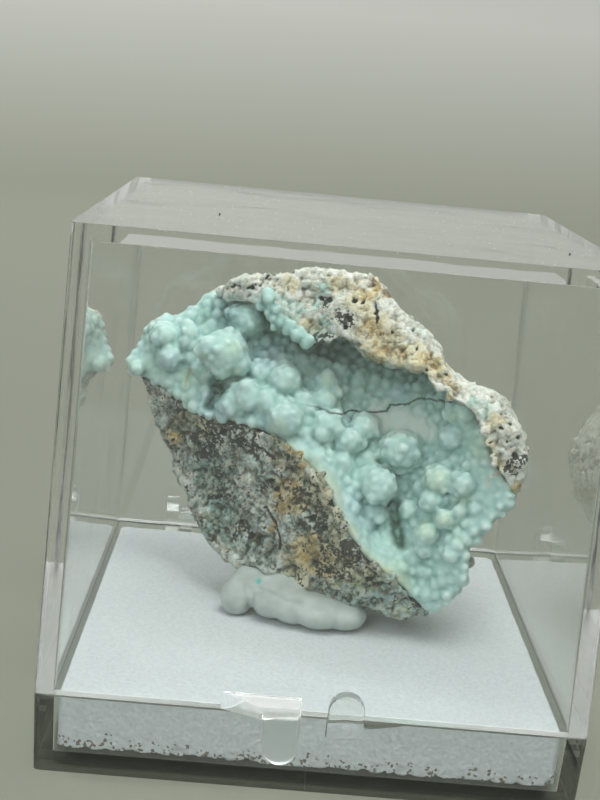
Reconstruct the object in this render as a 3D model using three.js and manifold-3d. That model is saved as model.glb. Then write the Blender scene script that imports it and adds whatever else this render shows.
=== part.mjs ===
// A gibbsite specimen fixed in a small clear display box with a hinged lid.
//
// Millimetres, +Z up. The origin is the middle of the tray's underside. The front of the box,
// with its catch, faces -Y, and the lid is hinged along the rear edge, at +Y.
import * as THREE from 'three';
import { mergeVertices } from 'three/addons/utils/BufferGeometryUtils.js';
import { ConvexGeometry } from 'three/addons/geometries/ConvexGeometry.js';
import Module from 'manifold-3d';

const wasm = await Module();
wasm.setup();

// Box
const BOX_WIDTH = 54; // outside, at the joint between tray and lid
const BOX_HEIGHT = 53.7;
const JOINT_HEIGHT = 8.15; // middle of the joint, above the underside of the tray
const JOINT_GAP = 0.2;
const WALL = 1.7;
const LID_DRAFT = 1.0; // each side leans in by this much from the joint to the roof
const TRAY_DRAFT = 0.22; // each side leans in by this much from the joint to the floor
const CORNER_RADIUS = 0.6;

// Hinge
const HINGE_SETBACK = 2.3; // from the rear wall to the hinge axis
const KNUCKLE_RADIUS = 2;
const KNUCKLE_WIDTH = 1.6;
const KNUCKLE_WEB = 4.2; // height of the web that joins a knuckle to its wall
const WEB_EDGE = 0.4; // from the hinge axis to the near edge of the web
const LUG_INNER_X = 15.6; // inner face of the tray's lug
const SIDE_CLEARANCE = 0.3;
const PIN_RADIUS = 0.7;
const PIN_HOLE_RADIUS = 1;

// Catch
const CATCH_REACH = 1.6; // how far the finger tabs stand off the front wall
const TAB_THICKNESS = 1.3;
const TAB_WIDTH = 3.5;
const LID_TAB_X = -2.95; // middle of the tab that hangs from the lid
const LID_TAB_END = 3.5; // height of its lower end
const TRAY_TAB_X = 3.15; // middle of the tab that stands on the tray
const TRAY_TAB_END = 11.4; // height of its upper end
const CATCH_WING = 5.7; // length of the ramp beside each tab
const CATCH_DEPTH = 2.1; // height of the ramp

// Foam and putty
const FOAM_CLEARANCE = 0.3;
const FOAM_TOP = 7.6;
const PUTTY_GAP = 0.3;
// Each lump of putty: middle, then half its size along each axis
const PUTTY_LUMPS = [
  [[-8.2, -0.6, 9.9], [2.3, 2.2, 2.2]],
  [[-3.9, -1.8, 10.2], [3.2, 3, 2.4]],
  [[0.3, -2.9, 9.9], [3.2, 3.2, 2.2]],
  [[3.9, -2.2, 9.7], [2.7, 3, 2]],
  [[-1.6, 1.4, 10.6], [6.8, 4.2, 3]],
];

// Stone. Its own frame has u to the right, v up and w out of the face that is displayed. Points are
// [u, v, w], with u and v as they are seen from VIEWING_DISTANCE in front of the face.
const STONE_PLACE = [0.96, 0, 28.7];
const STONE_TURN_DEGREES = [74.7, -3.2, 5.1];
const VIEWING_DISTANCE = 151.7;
const EDGE_THICKNESS = 0.8;
const BACK_DEPTH = -14; // w of the back, at the middle
const BACK_SLOPE = 0.15; // the back comes forward by this much for each mm to the right
const BACK_FULLNESS = 0.55; // 1 is a round back, and less is a flatter one with steeper sides
const ROCK_ROUGHNESS = 0.6;
const ROCK_STEPS = 20;
const STONE_OUTLINE = [
  [-23.5, 8.5, -7], [-22, 10.5, -7], [-20.1, 14, -6.5], [-15.2, 13.9, -5], [-13.7, 16.5, -4],
  [-12.1, 18.2, -2], [-9.3, 19, -1], [-4.1, 19.6, 0.5], [0.6, 19.5, 1], [4.7, 18.6, 1.5],
  [6, 16.8, 2], [8.4, 14.3, 2.5], [10.8, 12.4, 3.5], [12.1, 10.3, 4], [13, 8.1, 4.5],
  [14.2, 6.9, 5], [17, 6.5, 6], [19.8, 4.6, 6.5], [20.1, 3.2, 6.5], [21, 1.6, 7],
  [21.9, -0.9, 7], [21.8, -3.3, 7], [20.4, -5.8, 6], [17.3, -9.1, 5], [14.8, -11.4, 4],
  [14.6, -14.7, 3.5], [13.9, -16.6, 2.5], [11.4, -18.7, 0.5], [7.1, -20.3, -1], [4.3, -19.1, -1],
  [-0.7, -18.2, -2], [-6.2, -15.7, -3], [-9.3, -14.1, -3.5], [-10.5, -14.6, -4], [-13.7, -12.9, -7],
  [-15.2, -11.1, -7.5], [-16.1, -8.2, -8], [-18.6, -1.8, -8.5], [-20.7, 3.5, -8], [-21.1, 6.1, -7],
];
// The rock's face, with its hollow filled: the ridge, the lower left face, the upper rim, the knob
const ROCK_FACE = [
  [-17.9, 5.6, -5], [-13, 2.3, -1.5], [-8, 1.6, 0], [-3.7, -1.8, 2], [-1.2, -4, 3],
  [1.2, -9.5, 4], [5.5, -14.4, 3], [8, -16, 2.5],
  [-16.4, -1.1, -6], [-13.7, -6.8, -6], [-13.5, -1.7, -4], [-9.6, -3.4, -2], [-10.7, -9, -4.5],
  [-5.1, -6.8, 0], [-5.1, -12.4, -2.5], [-0.6, -13.5, 0.5], [1.7, -16.9, 0],
  [-9.6, 16.9, -1], [-4, 17.5, 1], [-4, 13.5, 1.5], [1.1, 15.8, 3], [1.1, 11.9, 3],
  [5.6, 14.7, 3.5], [5.6, 10.2, 4], [9.6, 10.7, 4.5], [11.3, 7.7, 5], [14.1, 5.1, 6.5],
  [16.9, 4.5, 8], [18.6, 1.1, 9], [19.2, -2.3, 8.5], [15.8, 0, 6],
];

// Gibbsite crust
const CRUST_THICKNESS = 1.6;
const CRUST_GAP = 0.3;
const CRUST_STEPS = 14;
const CRUST_CENTRE = [0, 3.4];
const HOLLOW_FRONT = 14; // w up to which the hollow in front of the crust is cut
const OVERHANG_REACH = 1.6; // how far the crust runs on under the rock's upper rim
const OVERHANG_ROOM = 2.6; // height of the pocket under the rim
const CRUST_OUTLINE = [
  [-23.5, 8.5, -7], [-22, 10.5, -7], [-20.1, 14, -6.5], [-17.9, 14.3, -6], [-15.2, 13.9, -5.5],
  [-13.7, 15.1, -6], [-11.2, 15.8, -6], [-9.2, 15.6, -6], [-6.9, 13.4, -6], [-4.6, 11.6, -6],
  [-2.8, 10.7, -6.5], [0.9, 11.3, -6.5], [4.3, 9, -6], [7.4, 8.4, -5], [10.2, 7.4, -3],
  [13.2, 4.1, 1.5], [15.2, 3.4, 3.5], [16.8, 0, 4.5], [17.7, -3.4, 5], [20.4, -5.8, 6],
  [17.3, -9.1, 5], [14.8, -11.4, 4], [14.6, -14.7, 3.5], [13.9, -16.6, 2.5], [11.4, -18.7, 0.5],
  [9.6, -19.4, -0.5], [8, -16, 2], [5.5, -14.4, 3], [2.5, -12, 3.5], [1.2, -9.5, 3.5],
  [-1.2, -4, 2.5], [-3.7, -1.8, 1.5], [-6.5, 0.5, 0], [-8, 1.6, -0.5], [-10.5, 2.3, -1.5],
  [-13, 2.3, -2.5], [-15.2, 3.2, -3.5], [-17.9, 5.6, -5.5], [-19.9, 6, -6.5], [-22.8, 7.2, -7],
];
const OVERHANG_FIRST = 5; // the points of CRUST_OUTLINE that lie under the rock's upper rim
const OVERHANG_LAST = 14;
const CRUST_FACE = [
  [-19.1, 10.7, -5], [-16.4, 11.3, -5], [-16.5, 7.9, -5], [-9.9, 13.7, -5], [-12.4, 9.6, -2.5],
  [-14.7, 10.2, -4], [-13.3, 6.3, -6], [-9.6, 7.9, -3.5], [-7.3, 10.7, -6.5], [-5.6, 6.8, -2.5],
  [-1.1, 5.6, -3.5], [1.7, 4.5, -4.5], [6.2, 6.2, -5.5], [9.6, 5.1, -4], [-10.7, 4.5, -2],
  [-5.6, 2.6, -1], [-0.9, 1.7, -2], [2.8, 0.6, -2.5], [7.3, 1.1, -4], [7.3, -1.1, -2],
  [11.9, 0, -1], [4.3, -4.5, -1], [6.8, -6.8, -6.5], [1.7, -3.4, 0], [4, -9, -1.5],
  [5.6, -11.9, -2], [11.1, -5.4, 1], [14.2, -4.9, 3], [10.2, -10.7, 1], [8, -7.7, -2],
  [12.2, -8.7, 2], [13.9, -11.3, 3], [11.9, -14.7, 1.5], [9, -15.2, 0],
];
// Rounded lumps that stand on the crust, as [u, v, radius]. A later one may sit on an earlier one.
const LUMP_SINK = 0.15; // how much of its radius a lump's middle lies above what it grew on
const LUMPS = [
  [-5.6, 6.9, 1.9], [-0.9, 6.5, 1.4], [-1.2, 4.6, 1.6], [-9.9, 13.7, 2.1], [-19.1, 11.9, 1.5],
  [-18.7, 9.5, 1.4], [-16.6, 11.6, 1.3], [-22.3, 8.4, 1], [-12.4, 9.9, 2.6], [-9.9, 5.1, 1.8],
  [-11.7, 4.2, 1.6], [-5.6, 2.6, 2.2], [-7.6, 4.5, 1.6], [-0.9, 1.7, 1.9], [1.6, 0.1, 1.6],
  [3.3, 1.7, 1.7], [7.4, -1, 2.3], [4.3, -4.5, 1.9], [8, -7.7, 1.1], [10.2, -10.7, 1.4],
  [12.2, -8.7, 1.1], [14.2, -4.9, 1.4], [11.4, -4.3, 1.6], [10.9, -6.4, 1.3], [13, 0.5, 1.4],
  [14.3, 3.4, 1.7], [13.3, -12.3, 1.1], [4.2, -8.1, 1.4], [-3.6, 4.3, 1.4], [-8.2, 7.7, 1.4],
  [-14.1, 7.7, 1.3],
];

// Solids: a closed three.js geometry, in and out of manifold-3d for the cuts and joins

function solid(geometry) {
  const bare = geometry.clone();
  for (const name of Object.keys(bare.attributes)) {
    if (name !== 'position') bare.deleteAttribute(name);
  }
  const merged = mergeVertices(bare, 1e-4);
  return new wasm.Manifold(new wasm.Mesh({
    numProp: 3,
    vertProperties: new Float32Array(merged.attributes.position.array),
    triVerts: new Uint32Array(merged.index.array),
  }));
}

function geometryOf(manifold) {
  const mesh = manifold.getMesh();
  const geometry = new THREE.BufferGeometry();
  geometry.setAttribute('position', new THREE.BufferAttribute(mesh.vertProperties, 3));
  geometry.setIndex(new THREE.BufferAttribute(mesh.triVerts, 1));
  return geometry;
}

function union(geometries) {
  return geometries.map(solid).reduce((whole, piece) => whole.add(piece));
}

// What is left of a cut solid without the crumbs that the cut breaks off. Merging its points parts
// the crumbs that hang on by a point, so that is repeated until one piece is left.
function largestPiece(manifold) {
  let pieces = manifold.decompose();
  let largest;
  do {
    largest = pieces.reduce((best, piece) => (piece.volume() > best.volume() ? piece : best));
    pieces = solid(geometryOf(largest)).decompose();
  } while (pieces.length > 1);
  return largest;
}

function named(name, geometry, material) {
  const mesh = new THREE.Mesh(geometry, material);
  mesh.name = name;
  return mesh;
}

// Box pieces

// A square block with rounded upright edges, whose sides lean in by draft from z = 0 to its top
function taperedBlock(width, height, radius, draft) {
  const half = width / 2;
  const flat = half - radius;
  const square = new THREE.Shape();
  square.moveTo(-flat, -half);
  square.lineTo(flat, -half);
  square.absarc(flat, -flat, radius, -Math.PI / 2, 0);
  square.lineTo(half, flat);
  square.absarc(flat, flat, radius, 0, Math.PI / 2);
  square.lineTo(-flat, half);
  square.absarc(-flat, flat, radius, Math.PI / 2, Math.PI);
  square.lineTo(-half, -flat);
  square.absarc(-flat, -flat, radius, Math.PI, 1.5 * Math.PI);
  const block = new THREE.ExtrudeGeometry(square, { depth: height, bevelEnabled: false, curveSegments: 3 });
  const position = block.attributes.position;
  for (let i = 0; i < position.count; i++) {
    const scale = 1 - (draft / half) * (position.getZ(i) / height);
    position.setXY(i, position.getX(i) * scale, position.getY(i) * scale);
  }
  return block;
}

// The knuckle of a hinge, a round plate across X from lowX, with a web to its wall. up is 1 for a web
// that rises from the axis, on the lid, and -1 for one that hangs from it, on the tray.
function knuckle(lowX, up, holeRadius) {
  const wall = HINGE_SETBACK + WALL / 3;
  const plate = new THREE.Shape();
  plate.moveTo(-wall, WEB_EDGE * up);
  plate.lineTo(-wall, KNUCKLE_WEB * up);
  plate.lineTo(0, KNUCKLE_RADIUS * up);
  plate.absarc(0, 0, KNUCKLE_RADIUS, (up * Math.PI) / 2, Math.PI, up > 0);
  plate.lineTo(-KNUCKLE_RADIUS, WEB_EDGE * up);
  if (holeRadius > 0) {
    const hole = new THREE.Path();
    hole.absarc(0, 0, holeRadius, 0, 2 * Math.PI);
    plate.holes.push(hole);
  }
  const geometry = new THREE.ExtrudeGeometry(plate, {
    depth: KNUCKLE_WIDTH, bevelEnabled: false, curveSegments: 7,
  });
  // The plate's own x and y become Y and Z, and its thickness runs along X
  geometry.applyMatrix4(new THREE.Matrix4().makeBasis(
    new THREE.Vector3(0, 1, 0), new THREE.Vector3(0, 0, 1), new THREE.Vector3(1, 0, 0)));
  return geometry.translate(lowX, BOX_WIDTH / 2 + HINGE_SETBACK, JOINT_HEIGHT);
}

// A finger tab with one round end, flat against the front of the box. It runs from fromZ to endZ.
function fingerTab(middleX, fromZ, endZ) {
  const half = TAB_WIDTH / 2;
  const up = Math.sign(endZ - fromZ);
  const roundZ = endZ - up * half;
  const outline = new THREE.Shape();
  outline.moveTo(-half, fromZ);
  outline.lineTo(half, fromZ);
  outline.lineTo(half, roundZ);
  outline.absarc(0, roundZ, half, 0, Math.PI, up < 0);
  outline.lineTo(-half, fromZ);
  const tab = new THREE.ExtrudeGeometry(outline, {
    depth: TAB_THICKNESS, bevelEnabled: false, curveSegments: 8,
  });
  tab.rotateX(Math.PI / 2);
  return tab.translate(middleX, -(BOX_WIDTH / 2 + CATCH_REACH) + TAB_THICKNESS, 0);
}

// The ramp that carries a tab: flush with the wall at its thin end, and CATCH_REACH proud at the tab.
// side is -1 where the thin end lies to the left. edgeZ is its edge at the joint.
function catchRamp(middleX, side, edgeZ, up) {
  const wall = -BOX_WIDTH / 2 + WALL / 3;
  const front = -BOX_WIDTH / 2 - CATCH_REACH;
  const near = middleX - side * TAB_WIDTH / 2;
  const tab = middleX + side * TAB_WIDTH / 2;
  const tip = tab + side * CATCH_WING;
  const points = [];
  for (const x of [near, tip]) {
    points.push(new THREE.Vector3(x, wall, edgeZ), new THREE.Vector3(x, wall, edgeZ + up * CATCH_DEPTH));
  }
  for (const x of [near, tab]) {
    points.push(
      new THREE.Vector3(x, front, edgeZ), new THREE.Vector3(x, front, edgeZ + up * CATCH_DEPTH / 2));
  }
  return new ConvexGeometry(points);
}

function bothSides(place) {
  return [1, -1].map((side) => place(side));
}

function trayLugs() {
  return bothSides((side) => {
    const lowX = side > 0 ? LUG_INNER_X : -LUG_INNER_X - KNUCKLE_WIDTH;
    return knuckle(lowX, -1, PIN_HOLE_RADIUS);
  });
}

function lidEars() {
  const innerX = LUG_INNER_X + KNUCKLE_WIDTH + SIDE_CLEARANCE;
  const pinLength = 2 * KNUCKLE_WIDTH;
  return bothSides((side) => {
    const ear = solid(knuckle(side > 0 ? innerX : -innerX - KNUCKLE_WIDTH, 1, 0));
    const pin = new THREE.CylinderGeometry(PIN_RADIUS, PIN_RADIUS, pinLength, 10);
    const pinX = side * (innerX + KNUCKLE_WIDTH / 2 - pinLength / 2);
    pin.rotateZ(Math.PI / 2).translate(pinX, BOX_WIDTH / 2 + HINGE_SETBACK, JOINT_HEIGHT);
    return geometryOf(ear.add(solid(pin)));
  });
}

function tray() {
  const top = JOINT_HEIGHT - JOINT_GAP / 2;
  const outer = taperedBlock(BOX_WIDTH - 2 * TRAY_DRAFT, top, CORNER_RADIUS, -TRAY_DRAFT);
  const inner = taperedBlock(BOX_WIDTH - 2 * TRAY_DRAFT - 2 * WALL, top, CORNER_RADIUS / 2, -TRAY_DRAFT);
  inner.translate(0, 0, WALL);
  const shell = solid(outer).subtract(solid(inner));
  const fittings = union([
    ...trayLugs(),
    catchRamp(TRAY_TAB_X, 1, top, -1),
    fingerTab(TRAY_TAB_X, top - CATCH_DEPTH / 2, TRAY_TAB_END),
  ]);
  return geometryOf(shell.add(fittings));
}

function lid() {
  const bottom = JOINT_HEIGHT + JOINT_GAP / 2;
  const height = BOX_HEIGHT - bottom;
  const outer = taperedBlock(BOX_WIDTH, height, CORNER_RADIUS, LID_DRAFT);
  const innerHeight = height - WALL;
  const innerDraft = (LID_DRAFT * innerHeight) / height;
  const inner = taperedBlock(BOX_WIDTH - 2 * WALL, innerHeight, CORNER_RADIUS / 2, innerDraft);
  const shell = solid(outer.translate(0, 0, bottom)).subtract(solid(inner.translate(0, 0, bottom)));
  const fittings = union([
    ...lidEars(),
    catchRamp(LID_TAB_X, -1, bottom, 1),
    fingerTab(LID_TAB_X, bottom + CATCH_DEPTH / 2, LID_TAB_END),
  ]);
  return geometryOf(shell.add(fittings));
}

function foam() {
  const width = BOX_WIDTH - 2 * (WALL + TRAY_DRAFT + FOAM_CLEARANCE);
  const block = taperedBlock(width, FOAM_TOP - WALL - FOAM_CLEARANCE / 2, CORNER_RADIUS, 0);
  return block.translate(0, 0, WALL + FOAM_CLEARANCE / 2);
}

// Stone

// Solves a full set of linear equations by elimination with row swaps
function solve(matrix, right) {
  const count = right.length;
  for (let column = 0; column < count; column++) {
    let pivot = column;
    for (let row = column + 1; row < count; row++) {
      if (Math.abs(matrix[row][column]) > Math.abs(matrix[pivot][column])) pivot = row;
    }
    [matrix[column], matrix[pivot]] = [matrix[pivot], matrix[column]];
    [right[column], right[pivot]] = [right[pivot], right[column]];
    for (let row = column + 1; row < count; row++) {
      const factor = matrix[row][column] / matrix[column][column];
      for (let k = column; k < count; k++) matrix[row][k] -= factor * matrix[column][k];
      right[row] -= factor * right[column];
    }
  }
  for (let row = count - 1; row >= 0; row--) {
    for (let k = row + 1; k < count; k++) right[row] -= matrix[row][k] * right[k];
    right[row] /= matrix[row][row];
  }
  return right;
}

// The height w(u, v) of a surface that passes through all the points, with a soft crease at each
function surfaceThrough(points) {
  const matrix = points.map(([u, v]) => points.map(([s, t]) => Math.hypot(u - s, v - t)));
  const weights = solve(matrix, points.map((point) => point[2]));
  return (u, v) => points.reduce((sum, [s, t], i) => sum + weights[i] * Math.hypot(u - s, v - t), 0);
}

// The radius of a closed outline about a centre, in the direction of an angle
function outlineRadius(outline, centre) {
  const corners = outline
    .map(([u, v]) => [Math.atan2(v - centre[1], u - centre[0]), u - centre[0], v - centre[1]])
    .sort((a, b) => a[0] - b[0]);
  return (angle) => {
    const turned = Math.atan2(Math.sin(angle), Math.cos(angle));
    let next = corners.findIndex((corner) => corner[0] > turned);
    if (next < 0) next = 0;
    const [, u0, v0] = corners[(next + corners.length - 1) % corners.length];
    const [, u1, v1] = corners[next];
    const cross = u0 * v1 - u1 * v0;
    return cross / (Math.cos(angle) * (v1 - v0) - Math.sin(angle) * (u1 - u0));
  };
}

// Carries a point that is seen at u, v along its line of sight to the depth w
function alongSight(u, v, w) {
  const scale = 1 - w / VIEWING_DISTANCE;
  return [u * scale, v * scale, w];
}

// A closed solid between two sheets, front(u, v, share) and back(u, v, share), over the region inside
// an outline. share runs from 0 at the centre to 1 at the outline. The grid is a square one that is
// pulled out to a disc, so its cells stay about as large everywhere. grow pushes the edge outward.
function sheetSolid({ radius, centre, front, back, steps, backSpread = (share) => share, grow = 0 }) {
  const positions = [];
  const index = [];
  const perSheet = (steps + 1) ** 2;
  for (const [sheet, spread] of [[front, (share) => share], [back, backSpread]]) {
    for (let j = 0; j <= steps; j++) {
      for (let i = 0; i <= steps; i++) {
        const a = (2 * i) / steps - 1;
        const b = (2 * j) / steps - 1;
        const share = Math.max(Math.abs(a), Math.abs(b));
        let angle = 0;
        if (Math.abs(a) >= Math.abs(b) && share > 0) {
          angle = (Math.PI / 4) * (b / a) + (a < 0 ? Math.PI : 0);
        } else if (share > 0) {
          angle = Math.PI / 2 - (Math.PI / 4) * (a / b) + (b < 0 ? Math.PI : 0);
        }
        const reach = radius(angle) * spread(share);
        const u = centre[0] + reach * Math.cos(angle);
        const v = centre[1] + reach * Math.sin(angle);
        const push = share === 1 ? grow : 0;
        positions.push(
          ...alongSight(u + push * Math.cos(angle), v + push * Math.sin(angle), sheet(u, v, share)));
      }
    }
  }
  const at = (i, j) => j * (steps + 1) + i;
  const across = (from, to, axis) => positions[3 * to + axis] - positions[3 * from + axis];
  const area = (a, b, c) => across(a, b, 0) * across(a, c, 1) - across(a, c, 0) * across(a, b, 1);
  for (let j = 0; j < steps; j++) {
    for (let i = 0; i < steps; i++) {
      // A cell is cut along the diagonal that folds neither half over
      const [p, q, r, s] = [at(i, j), at(i + 1, j), at(i + 1, j + 1), at(i, j + 1)];
      const straight = Math.min(area(p, q, r), area(p, r, s)) >= Math.min(area(q, r, s), area(q, s, p));
      const [k, l, m, n] = straight ? [p, q, r, s] : [q, r, s, p];
      index.push(k, l, m, k, m, n);
      index.push(k + perSheet, m + perSheet, l + perSheet, k + perSheet, n + perSheet, m + perSheet);
    }
  }
  const rim = [];
  for (let i = 0; i < steps; i++) rim.push(at(i, 0));
  for (let j = 0; j < steps; j++) rim.push(at(steps, j));
  for (let i = steps; i > 0; i--) rim.push(at(i, steps));
  for (let j = steps; j > 0; j--) rim.push(at(0, j));
  rim.forEach((p, k) => {
    const q = rim[(k + 1) % rim.length];
    index.push(p, p + perSheet, q + perSheet, p, q + perSheet, q);
  });
  const geometry = new THREE.BufferGeometry();
  geometry.setAttribute('position', new THREE.BufferAttribute(new Float32Array(positions), 3));
  geometry.setIndex(index);
  return geometry;
}

// Broken rock: a few waves of different lengths and directions, between about -1 and 1
function rubble(u, v) {
  return 0.45 * Math.sin(0.9 * u + 0.5 * v + 1) + 0.35 * Math.sin(-0.6 * u + 1.3 * v + 2.2)
    + 0.4 * Math.sin(2.1 * u + 0.9 * v) * Math.cos(1.7 * v - 0.4 * u) + 0.3 * Math.sin(3.3 * u - 2.9 * v);
}

const crustHeight = surfaceThrough([...CRUST_OUTLINE, ...CRUST_FACE]);

// The crust's outline, run on under the upper rim
const crustEdge = CRUST_OUTLINE.map(([u, v], i) => {
  const under = i >= OVERHANG_FIRST && i <= OVERHANG_LAST;
  const length = Math.hypot(u - CRUST_CENTRE[0], v - CRUST_CENTRE[1]);
  const scale = 1 + (under ? OVERHANG_REACH / length : 0);
  return [CRUST_CENTRE[0] + (u - CRUST_CENTRE[0]) * scale, CRUST_CENTRE[1] + (v - CRUST_CENTRE[1]) * scale];
});

// Where each lump sits. Its middle is a little above the crust, or above a lump that is already there.
function seatedLumps() {
  const seated = [];
  for (const [u, v, radius] of LUMPS) {
    let height = crustHeight(u, v);
    for (const other of seated) {
      const away = Math.hypot(u - other.u, v - other.v);
      if (away < other.radius) {
        height = Math.max(height, other.w + Math.sqrt(other.radius ** 2 - away ** 2) - radius / 2);
      }
    }
    seated.push({ u, v, w: height + LUMP_SINK * radius, radius });
  }
  return seated;
}

function crustSolid(grow) {
  const slab = sheetSolid({
    radius: outlineRadius(crustEdge, CRUST_CENTRE),
    centre: CRUST_CENTRE,
    front: (u, v) => crustHeight(u, v) + grow,
    back: (u, v) => crustHeight(u, v) - CRUST_THICKNESS - grow,
    steps: CRUST_STEPS,
    grow,
  });
  return seatedLumps().reduce((whole, lump) => {
    const ball = new THREE.IcosahedronGeometry(lump.radius + grow, 1);
    ball.translate(...alongSight(lump.u, lump.v, lump.w));
    return whole.add(solid(ball));
  }, solid(slab));
}

function wholeStone() {
  const face = surfaceThrough([...STONE_OUTLINE, ...ROCK_FACE]);
  const frontHeight = (u, v, share) => face(u, v) + ROCK_ROUGHNESS * rubble(u, v) * (1 - share ** 4);
  return sheetSolid({
    radius: outlineRadius(STONE_OUTLINE, [0, 0]),
    centre: [0, 0],
    front: frontHeight,
    back: (u, v, share) => {
      const dome = Math.cos((share * Math.PI) / 2) ** BACK_FULLNESS;
      const flat = BACK_DEPTH + BACK_SLOPE * u + 2 * ROCK_ROUGHNESS * rubble(v, u);
      return (face(u, v) - EDGE_THICKNESS) * (1 - dome) + flat * dome;
    },
    steps: ROCK_STEPS,
    backSpread: (share) => Math.sin((share * Math.PI) / 2),
  });
}

// The hollow, open to the front, and the pocket that the crust lies in
function hollowCutter() {
  const open = sheetSolid({
    radius: outlineRadius(CRUST_OUTLINE, CRUST_CENTRE),
    centre: CRUST_CENTRE,
    front: () => HOLLOW_FRONT,
    back: crustHeight,
    steps: CRUST_STEPS,
  });
  const pocket = sheetSolid({
    radius: outlineRadius(crustEdge, CRUST_CENTRE),
    centre: CRUST_CENTRE,
    front: (u, v) => crustHeight(u, v) + OVERHANG_ROOM,
    back: (u, v) => crustHeight(u, v) - CRUST_THICKNESS - CRUST_GAP,
    steps: CRUST_STEPS,
    grow: CRUST_GAP,
  });
  return solid(open).add(solid(pocket)).add(crustSolid(CRUST_GAP));
}

const stone = new THREE.Group();
stone.position.set(...STONE_PLACE);
stone.rotation.set(...STONE_TURN_DEGREES.map(THREE.MathUtils.degToRad));
stone.updateMatrix();

const rock = largestPiece(solid(wholeStone()).subtract(hollowCutter()));

function putty() {
  const lumps = PUTTY_LUMPS.map(([middle, half]) => {
    const ball = new THREE.SphereGeometry(1, 10, 6);
    return ball.scale(...half).translate(...middle);
  });
  const floor = new THREE.BoxGeometry(BOX_WIDTH, BOX_WIDTH, BOX_WIDTH);
  floor.translate(0, 0, FOAM_TOP + PUTTY_GAP - BOX_WIDTH / 2);
  // The stone cuts its print, and so do copies of it moved down and to each side by the gap
  const moves = [[0, 0, 0], [0, 0, -1], [1, 0, 0], [-1, 0, 0], [0, 1, 0], [0, -1, 0]];
  const prints = moves.map(([x, y, z]) => {
    const print = geometryOf(rock).applyMatrix4(stone.matrix);
    return print.translate(x * PUTTY_GAP, y * PUTTY_GAP, z * PUTTY_GAP);
  });
  return geometryOf(largestPiece(union(lumps).subtract(solid(floor)).subtract(union(prints))));
}

// Materials and the assembled object

const clearPlastic = new THREE.MeshStandardMaterial({
  color: 0xe6eeee, roughness: 0.05, metalness: 0, transparent: true, opacity: 0.3,
});
const whiteFoam = new THREE.MeshStandardMaterial({ color: 0xe8ebee, roughness: 0.95, metalness: 0 });
const tackPutty = new THREE.MeshStandardMaterial({ color: 0xdfe6e2, roughness: 0.6, metalness: 0 });
const paleRock = new THREE.MeshStandardMaterial({ color: 0xc9c3b0, roughness: 0.9, metalness: 0 });
const aquaGibbsite = new THREE.MeshStandardMaterial({ color: 0xa6d2c8, roughness: 0.5, metalness: 0 });

stone.add(named('matrix_rock', geometryOf(rock), paleRock));
stone.add(named('gibbsite_crust', geometryOf(largestPiece(crustSolid(0))), aquaGibbsite));

const specimenBox = new THREE.Group();
specimenBox.add(named('box_base', tray(), clearPlastic));
specimenBox.add(named('box_lid', lid(), clearPlastic));
specimenBox.add(named('foam_pad', foam(), whiteFoam));
specimenBox.add(named('putty', putty(), tackPutty));
specimenBox.add(stone);

export default specimenBox;
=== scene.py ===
import itertools
import math

import bmesh
import bpy
import numpy as np
from mathutils import Euler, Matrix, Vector
from mathutils.bvhtree import BVHTree


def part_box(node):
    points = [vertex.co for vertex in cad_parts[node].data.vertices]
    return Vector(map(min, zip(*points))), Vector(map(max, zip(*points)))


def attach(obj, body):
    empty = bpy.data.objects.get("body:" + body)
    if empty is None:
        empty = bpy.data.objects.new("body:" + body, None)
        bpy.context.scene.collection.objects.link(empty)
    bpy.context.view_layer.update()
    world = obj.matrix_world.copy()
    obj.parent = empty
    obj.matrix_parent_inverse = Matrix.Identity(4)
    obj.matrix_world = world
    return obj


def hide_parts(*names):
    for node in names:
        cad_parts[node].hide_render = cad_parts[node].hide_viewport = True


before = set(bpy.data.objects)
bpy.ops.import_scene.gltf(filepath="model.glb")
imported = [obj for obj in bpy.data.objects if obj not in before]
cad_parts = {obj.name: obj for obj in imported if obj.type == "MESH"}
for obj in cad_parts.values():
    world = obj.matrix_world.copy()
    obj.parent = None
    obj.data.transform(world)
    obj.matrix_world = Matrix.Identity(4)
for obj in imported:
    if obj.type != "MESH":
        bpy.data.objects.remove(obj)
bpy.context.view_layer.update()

MM = 0.001

# Camera
# It stands where the photograph was taken from: about a hand's length in front of the box, a little
# above its lid, and leaning slightly to one side.
CAMERA_PLACE = (-0.00744, -0.14612, 0.06855)
CAMERA_TURN_DEGREES = (76.253, -5.356, -0.271)
CAMERA_LENS = 60.495  # for a sensor that is 36 mm along the image's long side


def linked(name, data):
    piece = bpy.data.objects.new(name, data)
    bpy.context.collection.objects.link(piece)
    return piece


camera = linked("camera", bpy.data.cameras.new("camera"))
camera.data.lens = CAMERA_LENS
camera.data.sensor_width = 36
camera.data.clip_start = 0.005
camera.location = CAMERA_PLACE
camera.rotation_euler = [math.radians(angle) for angle in CAMERA_TURN_DEGREES]
bpy.context.scene.camera = camera
bpy.context.scene.view_settings.view_transform = "Standard"
bpy.context.scene.cycles.max_bounces = 20  # light runs on inside the clear walls
bpy.context.scene.cycles.glossy_bounces = 10
bpy.context.scene.cycles.transmission_bounces = 16


# Floor and light
# A plain pale floor that turns up into a low wall all round, under a large soft lamp, a fill lamp on
# the viewer's side and a pale sky. The floor is painted darker than the wall, as painted shade low down.
FLOOR_RADIUS = 0.55
WALL_CURVE = 0.35
CURVE_STEPS = 12
WALL_TOP = 0.62
# Painted shade: the floor's colour is darker than the wall's, so the backdrop darkens towards the bottom
FLOOR_COLOUR = (0.31, 0.322, 0.258)
WALL_COLOUR = (0.58, 0.585, 0.55)
WALL_BLEND = (0.0, 0.11)  # heights between which the floor's colour turns into the wall's


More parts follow.
